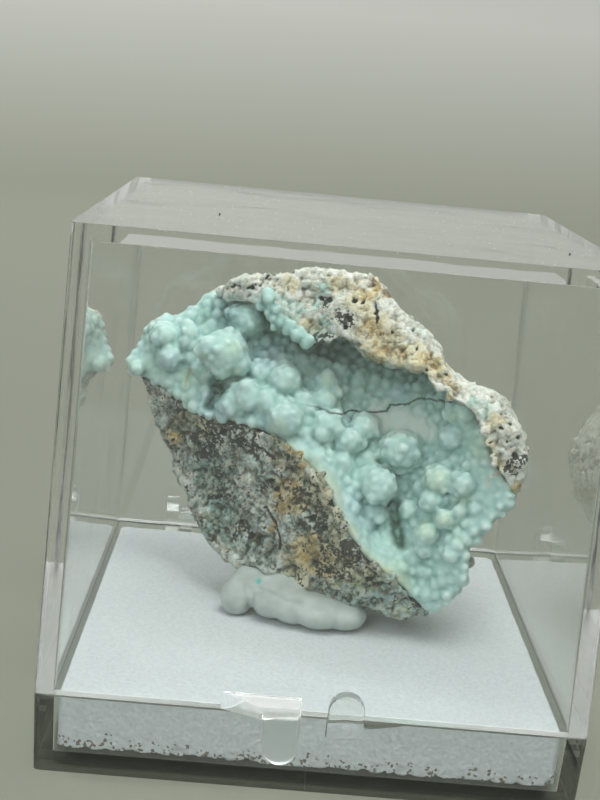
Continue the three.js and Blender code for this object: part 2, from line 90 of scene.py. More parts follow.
def stage_mesh():
    profile = [(0.0, 0.0), (FLOOR_RADIUS * 0.5, 0.0)]
    for step in range(CURVE_STEPS + 1):
        angle = math.radians(90 * step / CURVE_STEPS)
        profile.append((FLOOR_RADIUS + WALL_CURVE * math.sin(angle), WALL_CURVE * (1 - math.cos(angle))))
    profile.append((FLOOR_RADIUS + WALL_CURVE, WALL_TOP))
    shape = bmesh.new()
    line = [shape.verts.new((radius, 0, height)) for radius, height in profile]
    edges = [shape.edges.new(pair) for pair in zip(line, line[1:])]
    bmesh.ops.spin(shape, geom=line + edges, axis=(0, 0, 1), cent=(0, 0, 0), angle=2 * math.pi, steps=64)
    bmesh.ops.remove_doubles(shape, verts=shape.verts, dist=1e-5)
    bmesh.ops.recalc_face_normals(shape, faces=shape.faces)
    mesh = bpy.data.meshes.new("floor")
    shape.to_mesh(mesh)
    shape.free()
    for face in mesh.polygons:
        face.use_smooth = True
    return mesh


def set_inputs(node, **inputs):
    """Sets a node's inputs, each by name or by _ and number, to a value or to the socket that feeds it."""
    for key, value in inputs.items():
        slot = node.inputs[int(key[1:]) if key[0] == "_" else key.replace("_", " ")]
        if isinstance(value, bpy.types.NodeSocket):
            node.id_data.links.new(value, slot)
        else:
            slot.default_value = value


def add_node(tree, kind, **settings):
    """A new node. Settings that start in lower case are its own, and the others are its inputs."""
    node = tree.nodes.new(kind)
    for key in [key for key in settings if key[0].islower()]:
        setattr(node, key, settings.pop(key))
    set_inputs(node, **settings)
    return node


def set_shader(material, **inputs):
    set_inputs(material.node_tree.nodes["Principled BSDF"], **inputs)


def plain_material(name, colour, roughness):
    material = bpy.data.materials.new(name)
    material.use_nodes = True
    set_shader(material, Base_Color=(*colour, 1), Roughness=roughness)
    return material


def coat(piece, material):
    piece.data.materials.clear()
    piece.data.materials.append(material)


def object_place(tree):
    return add_node(tree, "ShaderNodeTexCoord").outputs["Object"]


def spread(value, low, high, to_low=0.0, to_high=1.0):
    """The value, with low to high spread over to_low to to_high and nothing beyond them."""
    return add_node(
        value.id_data, "ShaderNodeMapRange", Value=value, From_Min=low, From_Max=high, To_Min=to_low,
        To_Max=to_high).outputs["Result"]


def tinted(below, factor, colour, kind="MIX"):
    """The colour laid over the one below by the factor. Each is a socket or (red, green, blue)."""
    below, colour = ((*each, 1) if isinstance(each, tuple) else each for each in (below, colour))
    return add_node(
        factor.id_data, "ShaderNodeMix", data_type="RGBA", blend_type=kind, _0=factor, _6=below,
        _7=colour).outputs[2]


def area_lamp(name, place, target, size, watts, colour):
    lamp = bpy.data.lights.new(name, "AREA")
    lamp.shape = "RECTANGLE"
    lamp.size, lamp.size_y = size
    lamp.energy = watts
    lamp.color = colour
    holder = linked(name, lamp)
    holder.location = place
    holder.rotation_euler = (Vector(target) - Vector(place)).to_track_quat("-Z", "Y").to_euler()


floor = linked("floor", stage_mesh())
paint = plain_material("pale floor", FLOOR_COLOUR, 0.8)
place = add_node(paint.node_tree, "ShaderNodeSeparateXYZ", Vector=object_place(paint.node_tree))
rise = spread(place.outputs["Z"], *WALL_BLEND)
set_shader(paint, Base_Color=tinted(FLOOR_COLOUR, rise, WALL_COLOUR))
coat(floor, paint)
area_lamp("top lamp", (0.07, -0.13, 0.47), (0, 0, 0.02), (0.22, 0.18), 0.88, (1, 0.99, 0.97))
area_lamp("front lamp", (-0.2, -0.42, 0.3), (0, 0, 0.03), (0.24, 0.18), 0.6, (0.98, 0.99, 1))
area_lamp("wall lamp", (-0.16, 0.3, 0.6), (0, 0.85, 0.12), (0.9, 0.2), 3.4, (1, 1, 0.98))
sky = bpy.data.worlds.new("sky")
sky.use_nodes = True
set_inputs(sky.node_tree.nodes["Background"], Color=(0.93, 0.97, 1, 1), Strength=0.33)
bpy.context.scene.world = sky


# Clear box
# A hinged display box, moulded from clear polystyrene in two pieces. The tray carries the hinge's two
# lugs and a finger tab, and the lid carries two ears with short pins and the other tab.
EDGE_ROUNDING = 0.24 * MM
TAB_ROUNDING = 0.5 * MM
TAB_START = -27.15 * MM  # the catch's tabs stand forward of this plane
FACET_LIMIT = math.radians(28)  # edges that turn by more than this are rounded
FLAT_AREA = 5 * MM ** 2  # larger faces are flat walls
CLEAR_ROUGHNESS = 0.02
DULL_ROUGHNESS = 0.35
LID_DULL_BELOW = 8.55 * MM  # the lid's lower edge and the tab below it are dull, as broken-off plastic is
TRAY_DULL_ABOVE = 10.9 * MM  # and so is the tip of the tray's tab


def merged_copy(node, name):
    shape = bmesh.new()
    shape.from_mesh(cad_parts[node].data)
    bmesh.ops.remove_doubles(shape, verts=shape.verts, dist=1e-6)
    mesh = bpy.data.meshes.new(name)
    shape.to_mesh(mesh)
    shape.free()
    return linked(name, mesh)


def moulded(piece):
    shape = bmesh.new()
    shape.from_mesh(piece.data)
    bmesh.ops.dissolve_limit(shape, angle_limit=math.radians(0.5), verts=shape.verts, edges=shape.edges)
    for at_tab, rounding in ((True, TAB_ROUNDING), (False, EDGE_ROUNDING)):
        sharp = [
            edge for edge in shape.edges
            if edge.calc_face_angle(0) > FACET_LIMIT
            and all(vert.co.y < TAB_START for vert in edge.verts) == at_tab]
        bmesh.ops.bevel(
            shape, geom=sharp, offset=rounding, segments=4 if at_tab else 3, profile=0.5, affect="EDGES",
            clamp_overlap=True)
    bmesh.ops.triangulate(shape, faces=[face for face in shape.faces if len(face.verts) > 4])
    for face in shape.faces:
        face.smooth = face.calc_area() < FLAT_AREA
    shape.to_mesh(piece.data)
    shape.free()


def add_mask(mesh, name, values, domain="POINT"):
    mask = mesh.attributes.new(name, "FLOAT", domain)
    mask.data.foreach_set("value", np.clip(values, 0, 1).astype(np.float32))


def attribute(tree, name):
    return add_node(tree, "ShaderNodeAttribute", attribute_name=name).outputs["Fac"]


def clouds(place, scale, detail, roughness=0.5):
    """A cloudy pattern from 0 to 1."""
    return add_node(
        place.id_data, "ShaderNodeTexNoise", Vector=place, Scale=scale, Detail=detail,
        Roughness=roughness).outputs["Fac"]


def bumped(height, strength, distance, **inputs):
    """The skin's direction, once the height is pressed into it."""
    return add_node(
        height.id_data, "ShaderNodeBump", Height=height, Strength=strength, Distance=distance,
        **inputs).outputs["Normal"]


def clear_plastic():
    material = plain_material("clear polystyrene", (0.925, 0.94, 0.93), CLEAR_ROUGHNESS)
    tree = material.node_tree
    set_shader(
        material, IOR=1.57, Transmission_Weight=0.975,
        Roughness=spread(attribute(tree, "frost"), 0, 1, CLEAR_ROUGHNESS, DULL_ROUGHNESS),
        Normal=bumped(clouds(object_place(tree), 90, 2), 0.06, 0.4 * MM))
    # Lamps shine through the walls, as they do through thin clear plastic
    see_through = add_node(tree, "ShaderNodeBsdfTransparent", Color=(0.94, 0.96, 0.95, 1))
    mix = add_node(
        tree, "ShaderNodeMixShader", Fac=add_node(tree, "ShaderNodeLightPath").outputs["Is Shadow Ray"],
        _1=tree.nodes["Principled BSDF"].outputs["BSDF"], _2=see_through.outputs["BSDF"])
    set_inputs(tree.nodes["Material Output"], Surface=mix.outputs["Shader"])
    return material


plastic = clear_plastic()
for node, name, body in (("box_base", "tray", "base"), ("box_lid", "lid", "lid")):
    piece = merged_copy(node, name)
    moulded(piece)
    heights = np.array([face.center.z for face in piece.data.polygons])
    dull = heights < LID_DULL_BELOW if name == "lid" else heights > TRAY_DULL_ABOVE
    add_mask(piece.data, "frost", dull, "FACE")
    coat(piece, plastic)
    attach(piece, body)
    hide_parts(node)


# Dust
# Fine pale dust and two dark grains of grit, dry household dirt that has settled on the lid's roof and
# clings to it by itself.
DUST_SPECKS = 420
DUST_RADIUS = (0.02, 0.055)  # mm
DUST_MARGIN = 1.2  # mm, kept free along the roof's edges
DUST_REAR_MARGIN = 5
GRIT_PLACES = [(-13.6, -9.0), (21.0, -15.5)]
GRIT_RADIUS = 0.1  # mm
SETTLED = 0.6  # how high a speck's middle lies over the roof, as a share of its radius


def dust_mesh():
    chance = np.random.default_rng(11)
    low, high = (np.array(corner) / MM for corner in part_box("box_lid"))
    shape = bmesh.new()

    def speck(x, y, radius, detail):
        verts = bmesh.ops.create_icosphere(shape, subdivisions=detail, radius=radius * MM)["verts"]
        bmesh.ops.translate(shape, vec=Vector((x, y, high[2] + SETTLED * radius)) * MM, verts=verts)
        return verts

    for _ in range(DUST_SPECKS):
        x, y = chance.uniform(low[:2] + DUST_MARGIN, high[:2] - (DUST_MARGIN, DUST_REAR_MARGIN))
        speck(x, y, chance.uniform(*DUST_RADIUS), 1)
    for x, y in GRIT_PLACES:
        grit = speck(x, y, GRIT_RADIUS, 2)
        for face in {face for vert in grit for face in vert.link_faces}:
            face.material_index = 1
    mesh = bpy.data.meshes.new("dust")
    shape.to_mesh(mesh)
    shape.free()
    return mesh


dust = linked("dust", dust_mesh())
dust.data.materials.append(plain_material("white dust", (0.8, 0.8, 0.78), 0.9))
dust.data.materials.append(plain_material("dark grit", (0.06, 0.05, 0.04), 0.9))
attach(dust, "lid")


# Foam pad
# A square of fine white foam, cut to drop into the tray. Its top is grainy, and the lower edges of its
# sides are torn and crumbled where it was cut.
FOAM_VOXEL = 0.33 * MM
TORN_HEIGHT = 1.3  # mm, how far up the tears reach
TORN_DEPTH = (0.3, 1.6)  # mm in from the side, between which the tears die out
PIT_SPACING = 0.8
PIT_DEPTH = 0.3
PIT_SHARE = 0.25  # of the places where a pit could be
DIRT_HEIGHT = 1.5
DIRTY_SHARE = 0.22  # of the cells at the torn edge


def corner_value(cells, seed):
    x, y, z = (cells[:, k].astype(np.uint64) for k in range(3))
    mixed = x * np.uint64(73856093) ^ y * np.uint64(19349663) ^ z * np.uint64(83492791)
    mixed = mixed ^ np.uint64(seed * 7919 + 1)
    mixed = (mixed ^ (mixed >> np.uint64(13))) * np.uint64(1274126177)
    mixed = (mixed ^ (mixed >> np.uint64(16))) & np.uint64(0xFFFFFF)
    return mixed / 0xFFFFFF


def noise(points, size, seed=0):
    """Smooth noise from -1 to 1 at points in mm, with lumps about size apart."""
    grid = points / size + 1000
    cells = np.floor(grid).astype(np.int64)
    part = grid - cells
    part = part * part * (3 - 2 * part)
    total = np.zeros(len(points))
    for corner in itertools.product((0, 1), repeat=3):
        weight = np.prod(np.where(corner, part, 1 - part), axis=1)
        total += weight * corner_value(cells + corner, seed)
    return 2 * total - 1


def crumbs(points, size, seed=0):
    """How far each point in mm lies from the nearest of the seeds scattered about size apart, and that
    seed's own number."""
    grid = points / size + 1000
    cells = np.floor(grid).astype(np.int64)
    nearest = np.full(len(points), 9.0)
    number = np.zeros(len(points))
    for step in itertools.product((-1, 0, 1), repeat=3):
        near = cells + step
        spot = near + np.stack([corner_value(near, seed + k) for k in (1, 2, 3)], axis=1)
        away = np.linalg.norm(spot - grid, axis=1)
        closer = away < nearest
        nearest[closer] = away[closer]
        number[closer] = corner_value(near[closer], seed + 4)
    return nearest, number


def points_of(mesh):
    flat = np.empty(3 * len(mesh.vertices))
    mesh.vertices.foreach_get("co", flat)
    return flat.reshape(-1, 3) / MM


def normals_of(mesh):
    flat = np.empty(3 * len(mesh.vertices))
    mesh.vertex_normals.foreach_get("vector", flat)
    return flat.reshape(-1, 3)


def move_to(mesh, points):
    mesh.vertices.foreach_set("co", (points * MM).ravel())
    mesh.update()


def evaluated(piece):
    """The piece with its modifiers made real, in place."""
    mesh = bpy.data.meshes.new_from_object(piece.evaluated_get(bpy.context.evaluated_depsgraph_get()))
    piece.modifiers.clear()
    piece.data = mesh
    return piece


def remesh(piece, voxel):
    modifier = piece.modifiers.new("even skin", "REMESH")
    modifier.mode = "VOXEL"
    modifier.voxel_size = voxel
    evaluated(piece)


def relax(piece, rounds):
    modifier = piece.modifiers.new("relax", "SMOOTH")
    modifier.iterations = rounds
    evaluated(piece)


def smooth_step(low, high, value):
    share = np.clip((value - low) / (high - low), 0, 1)
    return share * share * (3 - 2 * share)


def smooth_faces(mesh):
    mesh.polygons.foreach_set("use_smooth", np.ones(len(mesh.polygons), dtype=bool))


foam = merged_copy("foam_pad", "foam")
remesh(foam, FOAM_VOXEL)
low, high = (np.array(corner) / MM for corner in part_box("foam_pad"))
points, normals = points_of(foam.data), normals_of(foam.data)
from_side = np.minimum(points[:, :2] - low[:2], high[:2] - points[:, :2]).min(axis=1)
along = points * (1, 1, 0)
tear = 0.25 + 0.2 * noise(along, 2.4, 3) + 0.25 * noise(along, 0.7, 4) + 0.2 * noise(along, 0.35, 8)
tear = np.clip(tear, 0.05, TORN_HEIGHT) * (1 - smooth_step(*TORN_DEPTH, from_side))
points[:, 2] = np.maximum(points[:, 2], low[2] + tear)
distance, number = crumbs(points, PIT_SPACING, 5)
from_foot = points[:, 2] - low[2] - tear
pits = PIT_DEPTH * smooth_step(0.5, 0.2, distance) * (number < PIT_SHARE) * smooth_step(1.3, 0.2, from_foot)
pits *= smooth_step(1.2, 0.4, from_side)
points += normals * (0.05 * noise(points, 0.8, 6) - pits)[:, None]
points = np.clip(points, low, high)
dirt = smooth_step(DIRT_HEIGHT, 0.1, from_foot + 0.8 * noise(points, 0.9, 7))
move_to(foam.data, points)
smooth_faces(foam.data)
add_mask(foam.data, "dirt", dirt * smooth_step(1.2, 0.6, from_side))


def maths(operation, *values):
    """The result of an operation on values, the first of them a socket."""
    inputs = {f"_{k}": value for k, value in enumerate(values)}
    return add_node(values[0].id_data, "ShaderNodeMath", operation=operation, **inputs).outputs["Value"]


def ramp(value, *stops):
    """The colour that the value finds between stops of (position, (red, green, blue))."""
    node = add_node(value.id_data, "ShaderNodeValToRGB", Fac=value)
    elements = node.color_ramp.elements
    for spare, (position, colour) in zip(elements, (stops[0], stops[-1])):
        spare.position, spare.color = position, (*colour, 1)
    for position, colour in stops[1:-1]:
        elements.new(position).color = (*colour, 1)
    return node.outputs["Color"]


def cell_numbers(place, scale):
    """Three numbers from 0 to 1 that each cell of a pattern has for itself."""
    cells = add_node(place.id_data, "ShaderNodeTexVoronoi", Vector=place, Scale=scale)
    return add_node(place.id_data, "ShaderNodeSeparateColor", Color=cells.outputs["Color"]).outputs[:3]


foam_finish = plain_material("white foam", (0.66, 0.70, 0.73), 0.95)
tree = foam_finish.node_tree
place = object_place(tree)
grain = clouds(place, 2600, 3)
cells = add_node(tree, "ShaderNodeTexVoronoi", Vector=place, Scale=1900).outputs["Distance"]
tone = ramp(grain, (0.35, (0.56, 0.60, 0.625)), (0.62, (0.64, 0.68, 0.70)))
# Brown crumbs cling to the torn edge, each one a cell of a fine pattern
share = maths("MULTIPLY", attribute(tree, "dirt"), DIRTY_SHARE)
dirty = maths("LESS_THAN", cell_numbers(place, 3600)[0], share)
set_shader(
    foam_finish, Base_Color=tinted(tone, dirty, (0.2, 0.165, 0.14)),
    Normal=bumped(maths("MULTIPLY_ADD", cells, 0.7, grain), 0.6, 0.12 * MM))
coat(foam, foam_finish)
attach(foam, "base")
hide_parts("foam_pad")


# Rock
# The matrix that the crust grew in: crumbly pale rock, chalky along its upper rim and on the knob at
# the right, and darker and grainy on its lower left face, with ochre stains and black specks. Painted
# shade darkens its clefts, pits and cracks, and the aqua and pale patches on its lower left face.
STONE_PLACE = np.array((0.96, 0, 28.7))
STONE_TURN_DEGREES = (74.7, -3.2, 5.1)
VIEWING_DISTANCE = 151.7
ROCK_VOXEL = 0.27 * MM
stone_turn = np.array(Euler([math.radians(angle) for angle in STONE_TURN_DEGREES], "ZYX").to_matrix())
stone_out = stone_turn[:, 2]


def seen(points):
    """Points in mm as u to the right, v up and w out of the stone's face, with u and v as the viewer
    sees them."""
    own = (points - STONE_PLACE) @ stone_turn
    scale = 1 - own[:, 2] / VIEWING_DISTANCE
    return np.stack([own[:, 0] / scale, own[:, 1] / scale, own[:, 2]], axis=1)


def patches(view, places, edge=0.45):
    """From 0 to 1, how much each point lies in any of the round places [u, v, radius]."""
    cover = np.zeros(len(view))
    for u, v, radius in places:
        away = np.hypot(view[:, 0] - u, view[:, 1] - v) / radius
        cover = np.maximum(cover, smooth_step(1 + edge, 1 - edge, away))
    return cover


def along_lines(view, lines):
    """How far each point, as seen, lies from the nearest of the lines."""
    flat = view[:, :2]
    nearest = np.full(len(flat), 99.0)
    for line in lines:
        for start, end in zip(np.array(line), np.array(line[1:])):
            run = end - start
            share = np.clip((flat - start) @ run / (run @ run), 0, 1)
            away = np.linalg.norm(flat - start - share[:, None] * run, axis=1)
            nearest = np.minimum(nearest, away)
    return nearest


def wobbled(view, points, amount, seed):
    """The view with its points pushed about, so that what is painted by it gets ragged edges."""
    push = [noise(points, 1.6, seed + k) + 0.6 * noise(points, 0.6, seed + 5 + k) for k in (0, 1)]
    return np.column_stack([view[:, 0] + amount * push[0], view[:, 1] + amount * push[1], view[:, 2]])


def stains(view, points, places, seed):
    """From 0 to 1, the places with ragged, broken edges."""
    cover = patches(wobbled(view, points, 0.75, seed), places, 0.75)
    grain = 0.30 * noise(points, 1.0, seed + 11) + 0.22 * noise(points, 0.5, seed + 12)
    return smooth_step(0.2, 0.8, cover + grain * (cover > 0.05))


def stands_out(piece, rounds):
    """How far, in mm, each point of the piece stands out of its relaxed shape."""
    soft = linked("soft copy", piece.data.copy())
    relax(soft, rounds)
    gap = points_of(piece.data) - points_of(soft.data)
    bpy.data.objects.remove(soft)
    return np.einsum("ij,ij->i", gap, normals_of(piece.data))


def ball_mesh(name, balls, detail):
    """One mesh of icospheres, each given by its middle and half its size along each axis, in mm."""
    shape = bmesh.new()
    bmesh.ops.create_icosphere(shape, subdivisions=detail, radius=1)
    verts = np.array([vert.co for vert in shape.verts])
    faces = np.array([[vert.index for vert in face.verts] for face in shape.faces])
    shape.free()
    balls = [(np.array(middle), np.array(half)) for middle, half in balls]
    mesh = bpy.data.meshes.new(name)
    all_verts = np.concatenate([middle + verts * half for middle, half in balls]) * MM
    all_faces = np.concatenate([faces + k * len(verts) for k in range(len(balls))])
    mesh.from_pydata(all_verts.tolist(), [], all_faces.tolist())
    return mesh


def joined(piece, mesh):
    shape = bmesh.new()
    shape.from_mesh(piece.data)
    shape.from_mesh(mesh)
    shape.to_mesh(piece.data)
    shape.free()


# What the face is made of from place to place, as [u, v, radius]
OCHRE_PLACES = [
    [4.9, 17.1, 1.5], [3.6, 16.6, 0.9], [4.2, 12.4, 1.2], [5.0, 10.2, 1.3], [7.6, 10.1, 0.9], [11.1, 8.4, 1.0],
    [10.0, 9.4, 0.8], [13.2, 5.3, 1.0], [12.6, 6.6, 0.7], [-5.0, -6.9, 1.7], [-5.3, -5.6, 1.2],
    [-4.0, -0.6, 0.8], [-3.6, -2.8, 0.6], [-6.6, 1.6, 0.7], [-3.4, -12.4, 1.4], [-1.9, -14.5, 1.0],
    [-0.6, -12.9, 0.9], [-2.2, -11.0, 0.7], [-17.9, 0.1, 0.7], [-6.9, 11.2, 0.7], [20.4, -5.4, 0.6],
    [-7.0, -9.4, 0.6], [1.4, -13.2, 0.7],
]
TAN_PLACES = [
    [5.2, 10.4, 2.4], [7.6, 9.6, 2.0], [3.0, 15.4, 1.6], [4.0, 13.2, 1.6], [9.6, 8.4, 1.3], [11.3, 8.2, 1.3],
    [2.0, 17.6, 1.0], [0.0, 17.4, 1.0], [-5.0, 18.0, 0.9], [18.4, 2.3, 1.0], [16.6, -0.9, 1.2],
    [18.2, -2.6, 0.9], [-4.9, -1.6, 1.8], [-4.0, -4.2, 1.6], [-1.6, -5.6, 2.0], [-0.8, -7.8, 1.6],
    [-6.3, 0.8, 1.0], [-3.2, -12.6, 2.4], [0.2, -11.6, 2.0], [0.8, -14.4, 2.0], [3.8, -15.6, 1.6],
    [-16.6, 3.0, 1.4], [-14.8, 1.6, 1.2], [-18.4, 1.0, 1.3], [-4.6, -15.4, 1.8], [-2.8, 13.4, 1.0],
]
DARK_PLACES = [
    [-13.4, 1.4, 1.4], [-11.9, 0.9, 1.4], [-10.6, 0.4, 1.2], [-15.6, 4.0, 0.9], [-17.4, 4.4, 1.0],
    [-14.4, -0.8, 1.4], [-15.8, 0.8, 1.0], [-3.6, -6.3, 1.0], [-2.4, -8.8, 1.6], [-1.2, -10.4, 1.3],
    [-3.9, -9.2, 0.9], [-1.0, -14.2, 1.5], [0.8, -15.0, 1.2], [1.8, -12.6, 1.6], [3.7, -15.3, 1.0],
    [-0.6, -12.2, 0.8], [1.3, 13.6, 0.9], [-0.9, 15.9, 0.7], [-1.6, 11.4, 1.0], [0.2, 11.3, 0.7],
    [20.3, -2.4, 1.2], [-9.0, -0.6, 1.0], [-12.9, -6.2, 1.0], [-10.6, -9.4, 1.1], [-13.4, -3.6, 0.9],
]
AQUA_PLACES = [
    [-6.6, 12.8, 1.6], [-5.8, 14.9, 1.8], [-3.8, 11.2, 1.4], [-10.4, 13.6, 1.9], [-8.2, 14.9, 1.9],
    [-1.6, 12.6, 1.4], [-1.6, 16.4, 1.3], [-12.4, 15.0, 1.4], [2.2, 9.5, 1.2], [5.6, 8.0, 1.0],
    [12.2, 4.9, 0.9], [15.2, 4.2, 1.0], [17.0, 3.4, 0.9], [-15.2, -3.4, 1.5], [-14.2, -5.6, 1.9],
    [-13.6, -8.2, 1.9], [-14.6, -10.4, 1.5], [-12.0, -3.2, 1.3], [-11.4, -7.6, 1.2], [-10.8, -12.2, 1.4],
    [7.5, -17.4, 2.6], [10.6, -16.8, 2.2], [3.8, -18.0, 2.0], [5.2, -15.4, 0.9], [1.4, -17.0, 1.5],
    [-8.6, -2.6, 1.3], [-5.8, -16.4, 1.4],
]
PALE_PLACES = [
    [-10.1, -4.6, 1.0], [-8.4, -0.3, 0.9], [-12.4, 0.2, 0.9], [-11.2, 1.6, 0.8], [-14.2, 2.6, 0.8],
    [-19.0, 5.7, 1.2], [-17.6, 3.0, 0.8], [-16.4, -4.4, 1.2], [-15.6, -8.0, 1.2], [-14.0, -12.2, 1.3],
    [-11.4, -13.0, 1.7], [-7.0, -6.4, 0.8], [-6.4, -3.2, 0.9], [-2.6, -3.0, 1.2], [-0.2, -6.2, 1.1],
    [-9.4, -7.4, 0.9], [-6.0, -13.6, 1.0], [3.6, -14.4, 0.8], [-3.6, -15.4, 1.0], [21.6, -2.2, 0.9],
]
PITS = [
    [-7.2, -4.5, 0.5], [-6.6, -5.4, 0.4], [-9.5, -10.6, 0.5], [-9.9, -11.8, 0.3], [2.1, 16.0, 0.4],
    [3.1, 15.8, 0.35], [4.6, 14.6, 0.35], [4.8, 13.9, 0.3], [-0.7, 16.1, 0.5], [-1.6, 16.2, 0.4],
    [1.5, 13.8, 0.5], [1.2, 12.9, 0.4], [16.9, 6.4, 0.25], [19.6, 2.1, 0.3], [18.5, 1.4, 0.3],
    [20.5, 0.4, 0.35], [19.2, -0.1, 0.25], [17.5, -0.1, 0.25], [20.2, -1.6, 0.6], [19.4, -2.8, 0.35],
    [-11.5, 17.5, 0.3], [-9.4, 17.4, 0.35], [12.6, 7.6, 0.3], [10.2, 7.9, 0.25], [-18.2, 5.0, 0.4],
    [-15.7, 4.3, 0.45], [-13.2, -6.2, 0.45], [-10.8, -9.2, 0.4], [3.9, -15.4, 0.5], [-2.6, -8.6, 0.45],
    [-1.4, -9.6, 0.4], [-0.9, -14.6, 0.45], [6.5, 12.2, 0.3], [8.6, 12.6, 0.25], [-12.8, 1.0, 0.4],
    [-11.6, 2.0, 0.35], [-10.4, 0.2, 0.35], [-14.1, 0.9, 0.35], [2.6, 10.8, 0.25], [9.2, 10.6, 0.25],
]
# The ridge where the lower left face meets the crust
RIDGE = [
    [-6.9, 0.9], [-5.4, -0.4], [-3.7, -1.8], [-1.2, -4.0], [0.3, -6.4],
    [1.2, -9.5], [2.5, -12.0], [5.5, -14.4], [8.0, -16.0],
]
# The lower edge of the upper rim and of the knob, where chalk crumbs hang over the crust
RIM_EDGE = [
    [0.9, 10.6], [4.3, 8.6], [7.4, 7.9], [10.2, 7.0], [12.4, 5.4], [14.2, 4.0], [16.0, 1.6], [17.0, -0.8],
    [18.2, -4.0],
]
ROCK_CRACKS = [
    [[-9.0, 1.1], [-9.3, 0.2], [-8.7, -0.7], [-7.6, -1.2], [-6.9, -2.0]],
    [[-8.1, -7.3], [-7.0, -8.9], [-6.5, -10.6], [-6.3, -12.0]],
    [[4.6, 15.3], [4.9, 14.2], [4.7, 13.4]],
    [[-12.0, 17.3], [-11.2, 17.7], [-10.6, 17.6]],
    [[-9.8, 17.3], [-9.0, 17.7], [-8.4, 17.6]],
    [[-7.9, 18.3], [-7.2, 18.8], [-6.6, 18.7]],
    [[-5.4, 19.1], [-4.6, 19.4]],
]
ROCK_CRACK_WIDTH = 0.11
CHALK_SLOPE = 0.72  # the rock is chalky above a line that falls to the right
CHALK_EDGE = (-2.5, 0.5)
# Each stain: its places and seed, then its share on the rock's back and the limits, size and seed of the
# noise that spreads it there
STAINS = {
    "ochre": (OCHRE_PLACES, 71, 1, (0.35, 0.7), 4, 32),
    "tan": (TAN_PLACES, 91, 1, (-0.2, 0.5), 6, 33),
    "dark": (DARK_PLACES, 111, 0.6, (0.2, 0.7), 3, 34),
    "aqua": (AQUA_PLACES, 131, 1, (0.35, 0.7), 4.5, 35),
    "pale": (PALE_PLACES, 151, 0.6, (0.1, 0.6), 4, 36),
}
# What grows on the rock. Sink is a share of the radius, and flatness is height beside width
CHUNKS = {
    "Spacing": 2.1 * MM, "Least Radius": 0.6 * MM, "Most Radius": 1.5 * MM, "Sink": -0.5, "Flatness": 0.6,
    "Seed": 9}
RUBBLE = {
    "Spacing": 0.8 * MM, "Least Radius": 0.22 * MM, "Most Radius": 0.75 * MM, "Sink": -0.3,
    "Flatness": 0.75, "Seed": 5}
EDGE_CRUMBS = 14  # along each straight stretch of the ridge and of the rim's edge
EDGE_CRUMB_RADIUS = (0.22, 0.6)
EDGE_CRUMB_SCATTER = 0.45
EDGE_CRUMB_SHIFT = 0.25  # to the left and down, onto the edge
CRUMB_SIZE = 0.7
CLOD_SIZE = 2.0
HOLE_DEPTH = 0.6
CRACK_DEPTH = 0.3


def seated(node, places):
    """The places as balls that sit where the viewer sees them on the node, each [u, v, radius, rise]."""
    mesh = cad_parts[node].data
    corners = [vert.co for vert in mesh.vertices]
    tree = BVHTree.FromPolygons(corners, [face.vertices for face in mesh.polygons])
    viewer = STONE_PLACE + VIEWING_DISTANCE * stone_out
    for u, v, radius, rise in places:
        aim = STONE_PLACE + u * stone_turn[:, 0] + v * stone_turn[:, 1] - viewer
        foot = tree.ray_cast(Vector(viewer * MM), Vector(aim).normalized())[0]
        if foot is not None:
            yield np.array(foot) / MM + rise * radius * stone_out, (radius,) * 3


def scatter_tree(name, detail):
    """Grows rounded grains on a skin, where its attribute growing is above zero, and joins them to it."""
    tree = bpy.data.node_groups.new(name, "GeometryNodeTree")
    kinds = {
        "Geometry": "Geometry", "Spacing": "Float", "Least Radius": "Float", "Most Radius": "Float",
        "Sink": "Float", "Flatness": "Float", "Seed": "Int", "Material": "Material"}
    for word, kind in kinds.items():
        tree.interface.new_socket(word, in_out="INPUT", socket_type="NodeSocket" + kind)
    tree.interface.new_socket("Geometry", in_out="OUTPUT", socket_type="NodeSocketGeometry")
    given = tree.nodes.new("NodeGroupInput").outputs

    growing = add_node(tree, "GeometryNodeInputNamedAttribute", data_type="FLOAT", Name="growing")
    scatter = add_node(
        tree, "GeometryNodeDistributePointsOnFaces", distribute_method="POISSON", Density_Max=6e6,
        Mesh=given["Geometry"], Distance_Min=given["Spacing"], Seed=given["Seed"],
        Density_Factor=growing.outputs["Attribute"])
    chance = add_node(tree, "FunctionNodeRandomValue", data_type="FLOAT", Seed=given["Seed"])
    skewed = maths("POWER", chance.outputs[1], 1.7)
    radius = spread(skewed, 0, 1, given["Least Radius"], given["Most Radius"])
    inward = add_node(
        tree, "ShaderNodeVectorMath", operation="SCALE", _0=scatter.outputs["Normal"],
        Scale=maths("MULTIPLY", radius, given["Sink"]))
    sink = add_node(
        tree, "GeometryNodeSetPosition", Geometry=scatter.outputs["Points"], Offset=inward.outputs["Vector"])
    turn = add_node(
        tree, "FunctionNodeRandomValue", data_type="FLOAT_VECTOR", _1=(math.tau,) * 3, Seed=given["Seed"])
    squash = add_node(tree, "ShaderNodeCombineXYZ", X=1, Y=1, Z=given["Flatness"])
    size = add_node(
        tree, "ShaderNodeVectorMath", operation="SCALE", _0=squash.outputs["Vector"], Scale=radius)
    ball = add_node(tree, "GeometryNodeMeshIcoSphere", Radius=1, Subdivisions=detail)
    grow = add_node(
        tree, "GeometryNodeInstanceOnPoints", Points=sink.outputs["Geometry"], Instance=ball.outputs["Mesh"],
        Rotation=turn.outputs[0], Scale=size.outputs["Vector"])
    both = add_node(tree, "GeometryNodeJoinGeometry", Geometry=grow.outputs["Instances"])
    set_inputs(both, Geometry=given["Geometry"])
    real = add_node(tree, "GeometryNodeRealizeInstances", Geometry=both.outputs["Geometry"])
    finish = add_node(
        tree, "GeometryNodeSetMaterial", Geometry=real.outputs["Geometry"], Material=given["Material"])
    add_node(tree, "NodeGroupOutput", Geometry=finish.outputs["Geometry"])
    return tree


